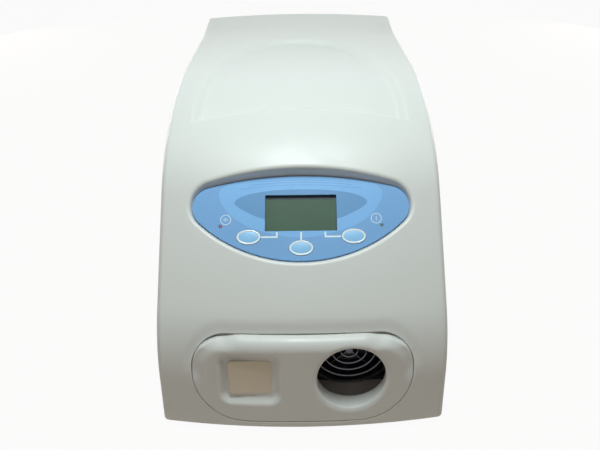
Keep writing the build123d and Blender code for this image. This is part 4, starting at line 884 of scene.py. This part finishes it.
# Floor, light and camera
scene = bpy.context.scene
ground = bpy.data.meshes.new("floor")
reach = 6.0
corners = [(-reach, -reach, 0), (reach, -reach, 0), (reach, reach, 0), (-reach, reach, 0)]
ground.from_pydata(corners, [], [(0, 1, 2, 3)])
floor = bpy.data.objects.new("floor", ground)
scene.collection.objects.link(floor)


def seen(tree):
    """One for rays that show the background: from the camera, by gloss or through glass."""
    path = tree.nodes.new("ShaderNodeLightPath")
    total = path.outputs["Is Camera Ray"]
    for ray in ("Is Glossy Ray", "Is Transmission Ray"):
        join = tree.nodes.new("ShaderNodeMath")
        join.operation = "MAXIMUM"
        tree.links.new(total, join.inputs[0])
        tree.links.new(path.outputs[ray], join.inputs[1])
        total = join.outputs[0]
    return total


pale = bpy.data.materials.new("floor_pale")
pale.use_nodes = True
tree = pale.node_tree
dull = tree.nodes["Principled BSDF"]
dull.inputs["Base Color"].default_value = (0.56, 0.46, 0.38, 1)
dull.inputs["Roughness"].default_value = 0.9
share = tree.nodes.new("ShaderNodeMath")
share.operation = "MULTIPLY"
share.inputs[1].default_value = 0.95
tree.links.new(seen(tree), share.inputs[0])
white = tree.nodes.new("ShaderNodeEmission")
mixed = tree.nodes.new("ShaderNodeMixShader")
tree.links.new(share.outputs[0], mixed.inputs[0])
tree.links.new(dull.outputs[0], mixed.inputs[1])
tree.links.new(white.outputs[0], mixed.inputs[2])
tree.links.new(mixed.outputs[0], tree.nodes["Material Output"].inputs["Surface"])
ground.materials.append(pale)

world = bpy.data.worlds.new("studio")
scene.world = world
world.use_nodes = True
tree = world.node_tree
back = tree.nodes["Background"]
blend = tree.nodes.new("ShaderNodeMix")
blend.data_type = "RGBA"
blend.inputs["A"].default_value = (0.16, 0.132, 0.115, 1)
blend.inputs["B"].default_value = (1, 1, 1, 1)
tree.links.new(seen(tree), blend.inputs["Factor"])
tree.links.new(blend.outputs["Result"], back.inputs["Color"])


def lamp(name, place, aim, size, power, colour=(1, 1, 1)):
    data = bpy.data.lights.new(name, "AREA")
    data.shape = "DISK"
    data.size = size
    data.energy = power
    data.color = colour
    obj = bpy.data.objects.new(name, data)
    scene.collection.objects.link(obj)
    obj.location = place
    obj.rotation_euler = (Vector(aim) - Vector(place)).to_track_quat("-Z", "Y").to_euler()


lamp("key", (0.0, -0.19, 0.84), (0, -0.08, 0.15), 0.26, 3.95, (0.91, 1.0, 1.0))
lamp("fill", (-0.9, -1.1, 0.7), (0, 0, 0.1), 1.0, 0.6, (1.0, 0.94, 0.88))
lamp("rear_left", (-0.95, 1.0, 0.3), (0, 0.15, 0.1), 0.8, 5.5)
lamp("rear_right", (0.95, 1.0, 0.3), (0, 0.15, 0.1), 0.8, 5.5)

camera = bpy.data.cameras.new("camera")
camera.lens = 34.2
camera.sensor_width = 36
camera.sensor_fit = "HORIZONTAL"
camera.shift_x = -1 / 600
camera.dof.use_dof = False
eye = bpy.data.objects.new("camera", camera)
scene.collection.objects.link(eye)
place = Matrix.Translation((0, -0.565, 0.4057))
tilt = Matrix.Rotation(radians(58), 4, "X")
roll = Matrix.Rotation(radians(-0.65), 4, "Z")
eye.matrix_world = place @ tilt @ roll
scene.camera = eye
scene.view_settings.view_transform = "Standard"
